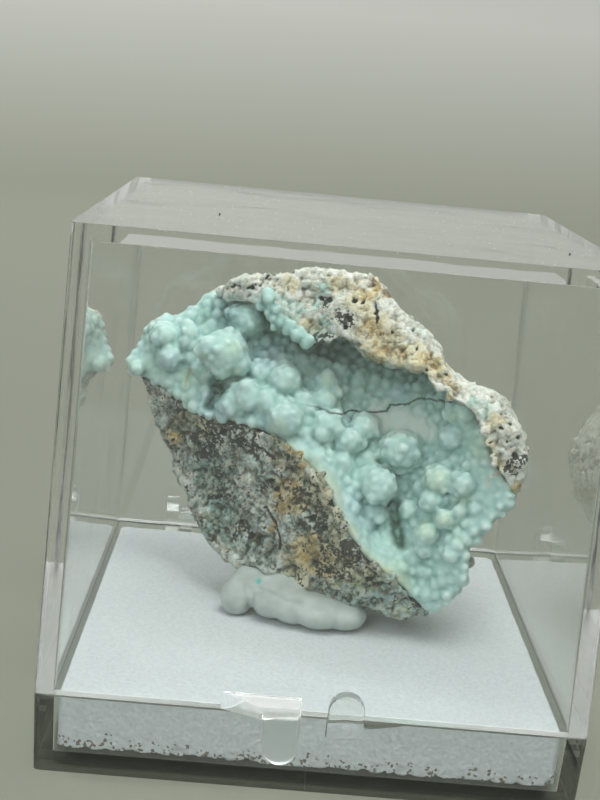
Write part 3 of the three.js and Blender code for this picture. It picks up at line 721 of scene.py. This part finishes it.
def scattered(piece, tree, settings):
    """Grows a scatter tree's grains on the piece, with settings by the names of the tree's inputs."""
    modifier = piece.modifiers.new(tree.name, "NODES")
    modifier.node_group = tree
    for item in tree.interface.items_tree:
        if item.in_out == "INPUT" and item.name in settings:
            modifier[item.identifier] = settings[item.name]
    evaluated(piece)


def gibbsite_group():
    """The colour of gibbsite: its own aqua, darkened to deep green by painted shade in its clefts and made milky
    by a painted highlight on its crests.
    """
    group = bpy.data.node_groups.new("gibbsite colour", "ShaderNodeTree")
    sockets = group.interface
    for name, value in (("Crest", 0.5), ("Warmth", 0.0), ("Blueness", 0.0)):
        sockets.new_socket(name, in_out="INPUT", socket_type="NodeSocketFloat").default_value = value
    sockets.new_socket("Colour", in_out="OUTPUT", socket_type="NodeSocketColor")
    sockets.new_socket("Height", in_out="OUTPUT", socket_type="NodeSocketFloat")
    given = group.nodes.new("NodeGroupInput").outputs
    place = object_place(group)
    lift = maths("MULTIPLY_ADD", clouds(place, 420, 5, 0.6), 0.5, -0.25)
    colour = ramp(
        maths("ADD", given["Crest"], lift),
        (0.0, (0.03, 0.085, 0.07)), (0.2, (0.13, 0.27, 0.235)), (0.42, (0.34, 0.56, 0.525)),
        (0.66, (0.50, 0.72, 0.685)), (0.95, (0.75, 0.90, 0.88)))
    colour = tinted(colour, given["Warmth"], (1.04, 0.98, 0.88), "MULTIPLY")
    colour = tinted(colour, given["Blueness"], (0.98, 0.97, 1.04), "MULTIPLY")
    add_node(group, "NodeGroupOutput", Colour=colour, Height=clouds(place, 4200, 3, 0.7))
    return group


gibbsite_colour = gibbsite_group()


def frayed(mask, pattern, width):
    """The mask with its edge broken up by a pattern."""
    return spread(maths("ADD", mask, pattern), 1 - width, 1 + width)


def blend(one, other):
    """The middle of two numbers, spread out again so that it goes from 0 to 1."""
    return spread(maths("ADD", one, other), 0.35, 1.65)


def rock_material():
    material = plain_material("weathered rock", (0.5, 0.5, 0.42), 0.92)
    tree = material.node_tree
    place = object_place(tree)
    chalk, crumb, crest, aqua, pale, tan, ochre, dark, pit_and_crack_shade = (
        attribute(tree, name)
        for name in ("chalk", "crumb", "crest", "aqua", "pale", "tan", "ochre", "dark", "pit_and_crack_shade"))
    broad, middle, fine = clouds(place, 330, 2, 0.65), clouds(place, 800, 3, 0.65), clouds(place, 2600, 3, 0.65)
    grain, ochre_number, pale_number = cell_numbers(place, 2000)
    speck, aqua_number, dark_number = cell_numbers(place, 3600)
    clouded = maths("ADD", spread(middle, 0.3, 0.7, -0.05, 0.35), spread(broad, 0.35, 0.65, -0.16, 0.44))
    mixed = maths("MULTIPLY_ADD", speck, 0.42, clouded)
    dark_tone = ramp(
        mixed, (0.12, (0.02, 0.026, 0.022)), (0.34, (0.10, 0.135, 0.122)), (0.6, (0.27, 0.34, 0.315)),
        (0.88, (0.56, 0.63, 0.60)))
    chalk_tone = ramp(
        mixed, (0.05, (0.50, 0.51, 0.455)), (0.4, (0.76, 0.78, 0.72)), (0.9, (0.90, 0.92, 0.89)))
    colour = tinted(dark_tone, chalk, chalk_tone)
    # Painted shade: below the chalk line the aqua and pale patches are darkened, on the lower left face that is
    # turned from the light
    shaded = spread(chalk, 0, 1, 0.6, 0.0)
    gibbsite = add_node(tree, "ShaderNodeGroup", node_tree=gibbsite_colour, Crest=crest)
    aqua_tone = tinted(gibbsite.outputs["Colour"], shaded, (0.62, 0.53, 0.53), "MULTIPLY")
    aqua_share = frayed(spread(aqua, 0, 1, 0, 0.68), blend(aqua_number, crumb), 0.5)
    colour = tinted(colour, spread(aqua_share, 0, 1, 0, 0.8), aqua_tone)
    colour = tinted(colour, spread(aqua, 0, 1, 0, 0.8), (0.80, 0.93, 0.92), "MULTIPLY")
    pale_tone = tinted(chalk_tone, shaded, (0.78, 0.83, 0.83), "MULTIPLY")
    pale_number = blend(pale_number, spread(crumb, 0, 1, 1, 0))
    pale_share = frayed(spread(pale, 0, 1, 0.14, 0.85), pale_number, 0.42)
    colour = tinted(colour, spread(pale_share, 0, 1, 0, 0.85), pale_tone)
    colour = tinted(colour, frayed(tan, fine, 0.6), (0.95, 0.85, 0.64), "MULTIPLY")
    ochre_tone = ramp(mixed, (0.1, (0.15, 0.092, 0.03)), (0.5, (0.46, 0.32, 0.10)), (0.9, (0.70, 0.58, 0.31)))
    ochre_share = frayed(spread(ochre, 0, 1, 0, 0.8), blend(ochre_number, fine), 0.45)
    colour = tinted(colour, spread(ochre_share, 0, 1, 0, 0.9), ochre_tone)
    # Black grains: a few all over, and many in the dark places
    many = maths("MULTIPLY_ADD", dark, 0.5, spread(chalk, 0, 1, 0.07, -0.02))
    black = maths("LESS_THAN", blend(dark_number, crumb), many)
    colour = tinted(colour, spread(black, 0, 1, 0, 0.95), (0.025, 0.026, 0.023))
    # Painted shade: clefts are darkened by how little they stand out, and pits and cracks are painted black
    cleft_shade = ramp(crest, (0.1, (0.20, 0.19, 0.16)), (0.34, (0.66, 0.65, 0.61)), (0.5, (1.0, 1.0, 1.0)))
    colour = tinted(colour, spread(middle, 0, 0.1), cleft_shade, "MULTIPLY")
    colour = tinted(colour, spread(pit_and_crack_shade, 0.3, 0.7), (0.014, 0.015, 0.013))
    set_shader(
        material, Base_Color=colour,
        Normal=bumped(grain, 0.5, 0.12 * MM, Normal=bumped(fine, 1, 0.3 * MM)))
    return material


def chalk_height(view):
    """How far up each point lies from the line above which the rock is chalky."""
    return view[:, 1] + CHALK_SLOPE * view[:, 0]


rock_finish = rock_material()
rock = merged_copy("matrix_rock", "rock")
remesh(rock, 0.32 * MM)
relax(rock, 5)
points, normals = points_of(rock.data), normals_of(rock.data)
points += normals * (0.45 * noise(points, 3.4, 23) + 0.28 * noise(points, 1.7, 24) - 0.3)[:, None]
move_to(rock.data, points)
add_mask(rock.data, "growing", smooth_step(-0.35, 0.45, noise(points, 2.4, 26)))
chance = np.random.default_rng(3)
edge_crumbs = []
for line in (RIDGE, RIM_EDGE):
    for start, end in zip(np.array(line), np.array(line[1:])):
        for _ in range(EDGE_CRUMBS):
            place = start + chance.random() * (end - start)
            u, v = place + chance.normal(0, EDGE_CRUMB_SCATTER, 2) - EDGE_CRUMB_SHIFT
            edge_crumbs.append((u, v, chance.uniform(*EDGE_CRUMB_RADIUS), -0.2))
crumb_balls = list(seated("matrix_rock", edge_crumbs)) + list(seated("gibbsite_crust", edge_crumbs[::3]))
joined(rock, ball_mesh("edge crumbs", crumb_balls, 2))
rubble_tree = scatter_tree("rubble", 1)
scattered(rock, rubble_tree, {**CHUNKS, "Material": rock_finish})
scattered(rock, rubble_tree, {**RUBBLE, "Material": rock_finish})
remesh(rock, ROCK_VOXEL)
points, normals = points_of(rock.data), normals_of(rock.data)
view = wobbled(seen(points), points, 0.12, 51)
front = smooth_step(-0.25, 0.15, normals @ stone_out)
holes = front * patches(view, [[u, v, 0.72 * radius] for u, v, radius in PITS], 0.35)
cracks = front * smooth_step(ROCK_CRACK_WIDTH * 1.7, ROCK_CRACK_WIDTH * 0.6, along_lines(view, ROCK_CRACKS))
grain_gap, grain_number = crumbs(points, CRUMB_SIZE, 22)
clod_gap, clod_number = crumbs(points, CLOD_SIZE, 24)
chalkiness = smooth_step(*CHALK_EDGE, chalk_height(view))
relief = 0.55 * (0.5 - grain_gap) * (0.1 + 0.9 * grain_number) + 0.12 * noise(points, 0.45, 27)
relief += 0.9 * (0.45 - clod_gap) * (0.2 + 0.8 * clod_number) * (1.3 - chalkiness)
points += normals * (relief - HOLE_DEPTH * holes - CRACK_DEPTH * cracks)[:, None]
move_to(rock.data, points)
smooth_faces(rock.data)
view = seen(points)
back = 1 - front
ragged_height = chalk_height(view) + 1.2 * noise(points, 2, 61) + 0.6 * noise(points, 0.8, 62)
chalk_at_back = 0.5 * back * smooth_step(-0.6, 0.3, noise(points, 5, 63))
masks = {
    "chalk": np.maximum(front * smooth_step(*CHALK_EDGE, ragged_height), chalk_at_back),
    # Painted shade: the pits and cracks, which the material paints black
    "pit_and_crack_shade": np.maximum(holes, cracks),
    "crumb": 0.7 * grain_number + 0.3 * clod_number,
    # How far each point stands out, which the material turns into painted shade in its clefts
    "crest": 0.47 + 2.2 * stands_out(rock, 7) + 0.9 * stands_out(rock, 40),
}
for name, (places, seed, share, limits, size, back_seed) in STAINS.items():
    at_back = share * back * smooth_step(*limits, noise(points, size, back_seed))
    masks[name] = front * stains(view, points, places, seed) + at_back
for name, values in masks.items():
    add_mask(rock.data, name, values)
coat(rock, rock_finish)
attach(rock, "base")
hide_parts("matrix_rock")


# Gibbsite crust
# The mineral itself: a pale aqua crust of rounded lumps, grown one on another over the hollow of the
# rock. The large lumps are listed one by one, and small ones grow between them.
# Lumps, each [u, v, radius, rise], where rise is how far its middle stands over what it grew on, as a
# share of its radius
LUMPS = [
    [-5.6, 6.9, 1.8, -0.25], [-0.9, 6.5, 1.35, -0.25], [-1.2, 4.6, 1.45, -0.25], [-9.9, 13.7, 1.9, -0.45],
    [-19.1, 11.9, 1.3, -0.25], [-18.7, 9.5, 1.3, -0.25], [-16.5, 12.2, 1.1, -0.25], [-16.8, 9.9, 1.1, -0.25],
    [-20.9, 8.8, 1.1, -0.25], [-22.3, 8.4, 0.9, -0.35], [-19.1, 13.5, 1, -0.45], [-17.5, 13.3, 1, -0.45],
    [-12.4, 9.9, 2.3, -0.75], [-10.9, 8.8, 1.4, -0.45], [-9.9, 5.1, 1.7, -0.35], [-11.7, 4.2, 1.5, -0.35],
    [-5.6, 2.6, 2, -0.45], [-7.6, 4.5, 1.5, -0.45], [-0.9, 1.7, 1.8, -0.25], [1.6, 0.1, 1.5, -0.15],
    [3.3, 1.7, 1.6, -0.05], [7.3, -1, 1.9, -0.05], [7.4, -0.9, 0.75, 1.9], [6.3, -0.2, 0.75, 1.4],
    [7.3, 0.4, 0.7, 1.4], [8.5, -0.1, 0.75, 1.35], [8.8, -1.3, 0.7, 1.3], [8.0, -2.2, 0.75, 1.3],
    [6.8, -2.2, 0.75, 1.3], [5.9, -1.3, 0.7, 1.3], [0.7, -2.4, 1.4, -0.15], [3.5, -2.1, 1.2, -0.25],
    [4.9, -5.0, 2.0, -0.15], [6.2, -6.1, 0.9, 0.2], [8.1, -7.6, 1.15, 0.25], [10.2, -10.3, 1.2, 0.25],
    [10.0, -12.0, 1.1, 0.15], [12.2, -8.6, 1.1, 0.15], [14.4, -4.8, 1.2, 0], [11.7, -4.3, 1.6, -0.05],
    [9.9, -5.2, 1.2, 0.1], [10.7, -6.6, 1.3, 0.1], [13, 0.5, 1.4, -0.1], [14.3, 3.4, 1.5, -0.45],
    [14.3, -7.9, 0.9, 0], [9.1, -9.2, 0.8, 0.1], [8.9, -13.3, 0.9, 0], [15.2, -9.2, 0.8, -0.1],
    [-14.2, 10.6, 1.5, -0.3], [-13.9, 12.8, 1.2, -0.3], [-15.4, 8.5, 1.1, -0.2], [-9.8, 6.9, 1.1, -0.2],
    [-8.0, 3.2, 1.2, -0.35], [-3.2, 0.6, 1.4, -0.25], [-2.1, -2.0, 1.2, -0.45], [-12.8, 8.0, 1.1, -0.25],
    [-6.9, 9.9, 1.0, -0.25], [-15.7, 6.3, 1.0, -0.35], [-21.6, 7.5, 0.8, -0.3], [-20.0, 10.6, 1.0, -0.25],
    [-16.2, 14.0, 1.0, -0.35], [-14.4, 14.4, 0.9, -0.35], [0.7, 7.8, 1.2, -0.2], [2.6, 6.9, 1.0, -0.2],
    [9.7, 6.2, 0.9, -0.2], [4.6, 6.8, 0.8, -0.2], [-1.6, 8.6, 1.0, -0.2],
    [13.2, 1.9, 1.2, -0.25], [15.2, 1.4, 1.2, -0.25], [9.9, -14.6, 0.8, -0.05], [12.1, -14.4, 0.9, -0.15],
    [13.9, -10.4, 0.9, -0.15], [15.6, -6.2, 0.9, -0.25], [7.1, 5.3, 0.9, -0.25], [4.2, -8.1, 1.3, -0.35],
    [3, -9.5, 1, -0.45], [1, -6.8, 1.1, -0.45], [8.2, -12.8, 0.9, -0.15], [13, -12.6, 0.9, -0.25],
    [12.6, -16.9, 0.9, -0.35], [10.5, -18.1, 0.9, -0.35], [-3.6, 4.3, 1.3, -0.35], [-8.2, 7.7, 1.3, -0.35],
    [-3.6, 9, 1.1, -0.35], [-8.2, 10.7, 1, -0.45], [-14.4, 12.4, 1.1, -0.35], [-14.1, 7.7, 1.1, -0.45],
    [-17.5, 7.2, 1, -0.45], [-9.7, 9.9, 0.7, 0.25], [5, 5.2, 0.8, -0.25], [9.4, 5, 0.8, -0.25],
    [2.6, 5.6, 0.9, -0.25], [12, -1.6, 0.9, -0.25], [15.8, -2.6, 0.9, -0.25], [11.4, -12.6, 0.8, -0.05],
]
# Lobes of the crust that hang from the rock's upper rim, each in the same way
RIM_LOBES = [
    [-7.4, 16.2, 0.70, -0.52], [-7.2, 15.2, 0.85, -0.62], [-7.0, 14.2, 0.75, -0.52], [-6.5, 13.3, 0.85, -0.62],
    [-5.9, 12.5, 0.80, -0.52], [-5.2, 11.8, 0.85, -0.62], [-4.3, 11.1, 0.85, -0.52], [-3.3, 10.5, 0.80, -0.62],
    [-2.3, 10.1, 0.75, -0.52], [-1.2, 10.2, 0.75, -0.62], [-6.2, 14.9, 0.85, -0.72], [-5.8, 13.8, 0.90, -0.72],
    [-5.0, 12.8, 0.85, -0.77], [-4.0, 12.0, 0.85, -0.77], [-3.0, 11.4, 0.75, -0.72], [-9.4, 14.9, 0.75, -0.72],
    [-8.4, 15.4, 0.70, -0.72], [-10.6, 14.6, 0.75, -0.72], [-11.8, 14.6, 0.65, -0.72],
]
# The lower edge of the upper rim, under which painted shade darkens the crust
UPPER_RIM = [
    [-13.7, 14.3], [-7.1, 15.6], [-6.8, 14.0], [-5.9, 12.4], [-4.3, 10.9], [-2.8, 10.2], [0.9, 10.5], [1.6, 9.4],
    [4.3, 8.5], [7.4, 7.8], [10.2, 6.9], [12.4, 5.3], [13.5, 4.1],
]
# The bare, smooth grey patch
BARE_PLACES = [[5.4, 2.2, 1.2], [7.2, 2.4, 1.4], [9.0, 2.0, 1.3], [10.4, 1.2, 1.0], [4.6, 3.6, 0.8]]
LIP_WIDTH = 1.7  # mm, along the ridge, where nothing small grows
LIP_FADE = 0.8
BARE_LIP = (1.3, 0.6)  # mm from the ridge, where not even the finest lumps grow
CRUST_CRACK = [
    [-3.8, 4.2], [-2.0, 3.9], [-0.4, 3.2], [0.6, 3.0], [1.7, 3.5], [3.8, 3.3], [5.8, 3.4], [6.2, 4.1],
    [8.2, 4.2], [9.4, 4.9], [11.1, 4.6], [13.0, 4.4],
]
CRUST_CRACK_WIDTH = 0.075
CRUST_CRACK_DEPTH = 0.15
CREASE_DEPTH = 0.9
CREASES = [
    [[6.7, -7.2], [6.8, -8.2], [6.9, -9.6], [7.2, -11.2]],
    [[-13.6, 6.8], [-13.0, 5.6], [-14.2, 4.2]],
]
OLIVE_STREAKS = [[[-16.5, 8.0], [-16.7, 7.2], [-17.0, 6.1]]]
WARM_PLACES = [
    [11.4, -4.3, 1.4], [10.2, -9.8, 1.1], [12.2, -8.7, 0.9], [-0.8, 6.9, 0.7], [-11.4, 10.5, 0.8],
    [-16.6, 7.2, 0.8], [-11.4, 7.4, 0.8], [6.6, -14.6, 1.4], [14.6, -6.6, 0.8], [16.4, -0.6, 1.4],
    [-6.4, 1.8, 1.0], [13.4, 3.0, 0.8],
]
BLUE_PLACES = [
    [-13.8, 3.4, 1.8], [-14.4, 4.8, 1.4], [-18.6, 9.2, 1.2], [-12.6, 14.2, 1.6], [7.1, 5.3, 1.0],
    [-8.2, 9.4, 1.6], [1.6, -6.8, 1.8], [3.4, -8.2, 1.6], [-7.6, 2.4, 1.2],
]
CRUST_GROWTH = 0.3  # mm, swells the crust out to meet the rock round it
# The small lumps, and then the finest ones, which grow on all the others
SMALL_LUMPS = {
    "Spacing": 1.0 * MM, "Least Radius": 0.4 * MM, "Most Radius": 0.95 * MM, "Sink": -0.3, "Flatness": 0.95,
    "Seed": 7}
FINE_LUMPS = {
    "Spacing": 0.95 * MM, "Least Radius": 0.4 * MM, "Most Radius": 0.8 * MM, "Sink": -0.74, "Flatness": 1.0,
    "Seed": 19}
CRUST_VOXEL = 0.2 * MM


def crust_material():
    material = plain_material("aqua gibbsite", (0.4, 0.66, 0.6), 0.55)
    tree = material.node_tree
    gibbsite = add_node(
        tree, "ShaderNodeGroup", node_tree=gibbsite_colour, Crest=attribute(tree, "crest"),
        Warmth=attribute(tree, "warm"), Blueness=attribute(tree, "blue"))
    speckle = clouds(object_place(tree), 1500, 4, 0.7)
    colour = gibbsite.outputs["Colour"]
    colour = tinted(colour, frayed(attribute(tree, "bare"), speckle, 0.5), (0.70, 0.80, 0.77))
    colour = tinted(colour, frayed(attribute(tree, "edge"), speckle, 0.6), (0.94, 0.86, 0.72), "MULTIPLY")
    colour = tinted(colour, attribute(tree, "streak"), (0.33, 0.32, 0.15))
    # Painted shade: the crack is painted nearly black
    colour = tinted(colour, attribute(tree, "shaded_crack"), (0.03, 0.034, 0.03))
    set_shader(
        material, Base_Color=colour, Specular_IOR_Level=0.35, Subsurface_Weight=0.2,
        Subsurface_Radius=(0.85, 1.0, 0.97), Subsurface_Scale=0.4 * MM,
        Normal=bumped(gibbsite.outputs["Height"], 0.6, 0.08 * MM))
    return material


crust_finish = crust_material()
crust = merged_copy("gibbsite_crust", "crust")
balls = list(seated("gibbsite_crust", LUMPS)) + list(seated("matrix_rock", RIM_LOBES))
remesh(crust, 0.3 * MM)
relax(crust, 10)
points, normals = points_of(crust.data), normals_of(crust.data)
move_to(crust.data, points + CRUST_GROWTH * normals)
joined(crust, ball_mesh("balls", balls, 4))
remesh(crust, 0.24 * MM)
relax(crust, 1)
points, normals = points_of(crust.data), normals_of(crust.data)
view = seen(points)
from_ridge = along_lines(view, [RIDGE])
calm = np.maximum(patches(view, BARE_PLACES, 0.3), smooth_step(LIP_WIDTH, LIP_WIDTH - LIP_FADE, from_ridge))
calm = np.maximum(calm, 0.85 * patches(view, [lump[:3] for lump in LUMPS], 0.15))
growing = smooth_step(-0.3, 0.3, normals @ stone_out) * (1 - calm)
add_mask(crust.data, "growing", growing * smooth_step(-0.9, 0.1, noise(points, 3, 45)))
small_tree = scatter_tree("small lumps", 3)
scattered(crust, small_tree, {**SMALL_LUMPS, "Material": crust_finish})
crust.data.attributes.remove(crust.data.attributes["growing"])
points, normals = points_of(crust.data), normals_of(crust.data)
view = seen(points)
still = np.maximum(patches(view, BARE_PLACES, 0.3), smooth_step(*BARE_LIP, along_lines(view, [RIDGE])))
add_mask(crust.data, "growing", smooth_step(-0.3, 0.3, normals @ stone_out) * (1 - still))
scattered(crust, small_tree, {**FINE_LUMPS, "Material": crust_finish})
remesh(crust, CRUST_VOXEL)
relax(crust, 1)

points, normals = points_of(crust.data), normals_of(crust.data)
view = seen(points)
wavy = wobbled(view, points, 0.1, 55)
facing = smooth_step(0, 0.3, normals @ stone_out)
shaded_crack = smooth_step(CRUST_CRACK_WIDTH * 2, CRUST_CRACK_WIDTH * 0.7, along_lines(wavy, [CRUST_CRACK]))
shaded_crack *= facing * smooth_step(-5, 1, view[:, 0])
crease = facing * smooth_step(1.15, 0.2, along_lines(wobbled(view, points, 0.15, 57), CREASES))
bare = facing * patches(wavy, BARE_PLACES, 0.5)
ripples = np.sin(view[:, 0] * 9 + 2.5 * noise(points, 1.2, 46))
relief = 0.05 * noise(points, 0.45, 41) + 0.08 * noise(points, 1.1, 42) + 0.02 * bare * ripples
points += normals * relief[:, None]
points -= (CRUST_CRACK_DEPTH * shaded_crack + CREASE_DEPTH * crease)[:, None] * stone_out
move_to(crust.data, points)
smooth_faces(crust.data)
from_ridge = along_lines(wobbled(view, points, 0.35, 56), [RIDGE])
from_upper_rim = along_lines(wobbled(view, points, 0.5, 60), [UPPER_RIM])
from_streaks = along_lines(wobbled(view, points, 0.3, 59), OLIVE_STREAKS)
masks = {
    # Painted shade and light: darker in clefts, in the creases and under the upper rim, and paler on crests
    "crest": 0.55 + 2.3 * stands_out(crust, 8) + 0.62 * stands_out(crust, 60) - 0.24 * crease
    - 0.21 * smooth_step(2.8, 0.4, from_upper_rim),
    "shaded_crack": shaded_crack,
    "bare": bare,
    "edge": facing * smooth_step(1.0, 0.1, from_ridge + 0.7 * noise(points, 1.7, 58)),
    "streak": 0.65 * facing * smooth_step(0.35, 0.05, from_streaks),
    "warm": patches(view, WARM_PLACES) + 0.3 * smooth_step(0.2, 0.8, noise(points, 3, 43)),
    "blue": patches(view, BLUE_PLACES) + 0.4 * smooth_step(0.0, 0.8, noise(points, 2.2, 44)),
}
for name, values in masks.items():
    add_mask(crust.data, name, values)
coat(crust, crust_finish)
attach(crust, "base")
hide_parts("gibbsite_crust")


# Putty
# A kneaded blob of off-white tack that holds the stone upright: an upright lobe on the left, a roll
# pressed out along the stone's foot, and the mass behind them that the stone stands in.
PUTTY_LUMPS = [
    ((-8.4, -0.9, 9.8), (2.0, 2.1, 2.3)),
    ((-7.1, 0.3, 10.6), (2.6, 2.2, 2.3)),
    ((-4.6, -1.6, 9.9), (2.3, 2.7, 2.2)),
    ((-2.2, -2.5, 9.8), (3.0, 2.7, 2.1)),
    ((0.9, -3.2, 9.6), (3.2, 2.7, 1.9)),
    ((3.8, -2.9, 9.3), (2.6, 2.6, 1.6)),
    ((-1.6, 1.4, 10.4), (6.6, 4.2, 2.8)),
]
PUTTY_FLOOR = 7.75
PUTTY_CREASES = [
    [[-9.9, -16.2], [-9.5, -17.4], [-9.7, -18.6]],
    [[-8.6, -16.6], [-5.0, -17.8], [-1.6, -18.6]],
]
PUTTY_CREASE_DEPTH = 0.28
FLECK_PLACE = [-8.6, -15.7, 0.33]  # a crumb of teal mineral pressed into the tack

putty = linked("tack", ball_mesh("tack", PUTTY_LUMPS, 4))
remesh(putty, 0.22 * MM)
relax(putty, 5)
points, normals = points_of(putty.data), normals_of(putty.data)
view = seen(points)
front = smooth_step(-0.1, 0.3, normals @ stone_out)
folds = front * smooth_step(0.5, 0.0, along_lines(wobbled(view, points, 0.2, 15), PUTTY_CREASES))
points += normals * (
    0.16 * noise(points, 2.1, 11) + 0.06 * noise(points, 0.7, 12) - PUTTY_CREASE_DEPTH * folds)[:, None]
points[:, 2] = np.maximum(points[:, 2], PUTTY_FLOOR)
move_to(putty.data, points)
smooth_faces(putty.data)
add_mask(putty.data, "fleck", front * patches(view, [FLECK_PLACE], 0.2))

putty_finish = plain_material("off-white tack", (0.45, 0.5, 0.49), 0.6)
tree = putty_finish.node_tree
smears = clouds(object_place(tree), 420, 4)
tone = ramp(smears, (0.3, (0.36, 0.42, 0.40)), (0.7, (0.52, 0.57, 0.56)))
set_shader(
    putty_finish, Base_Color=tinted(tone, attribute(tree, "fleck"), (0.09, 0.42, 0.37)),
    Subsurface_Weight=0.15, Subsurface_Radius=(1, 0.9, 0.8), Subsurface_Scale=0.6 * MM,
    Normal=bumped(smears, 0.3, 0.12 * MM))
coat(putty, putty_finish)
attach(putty, "base")
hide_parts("putty")
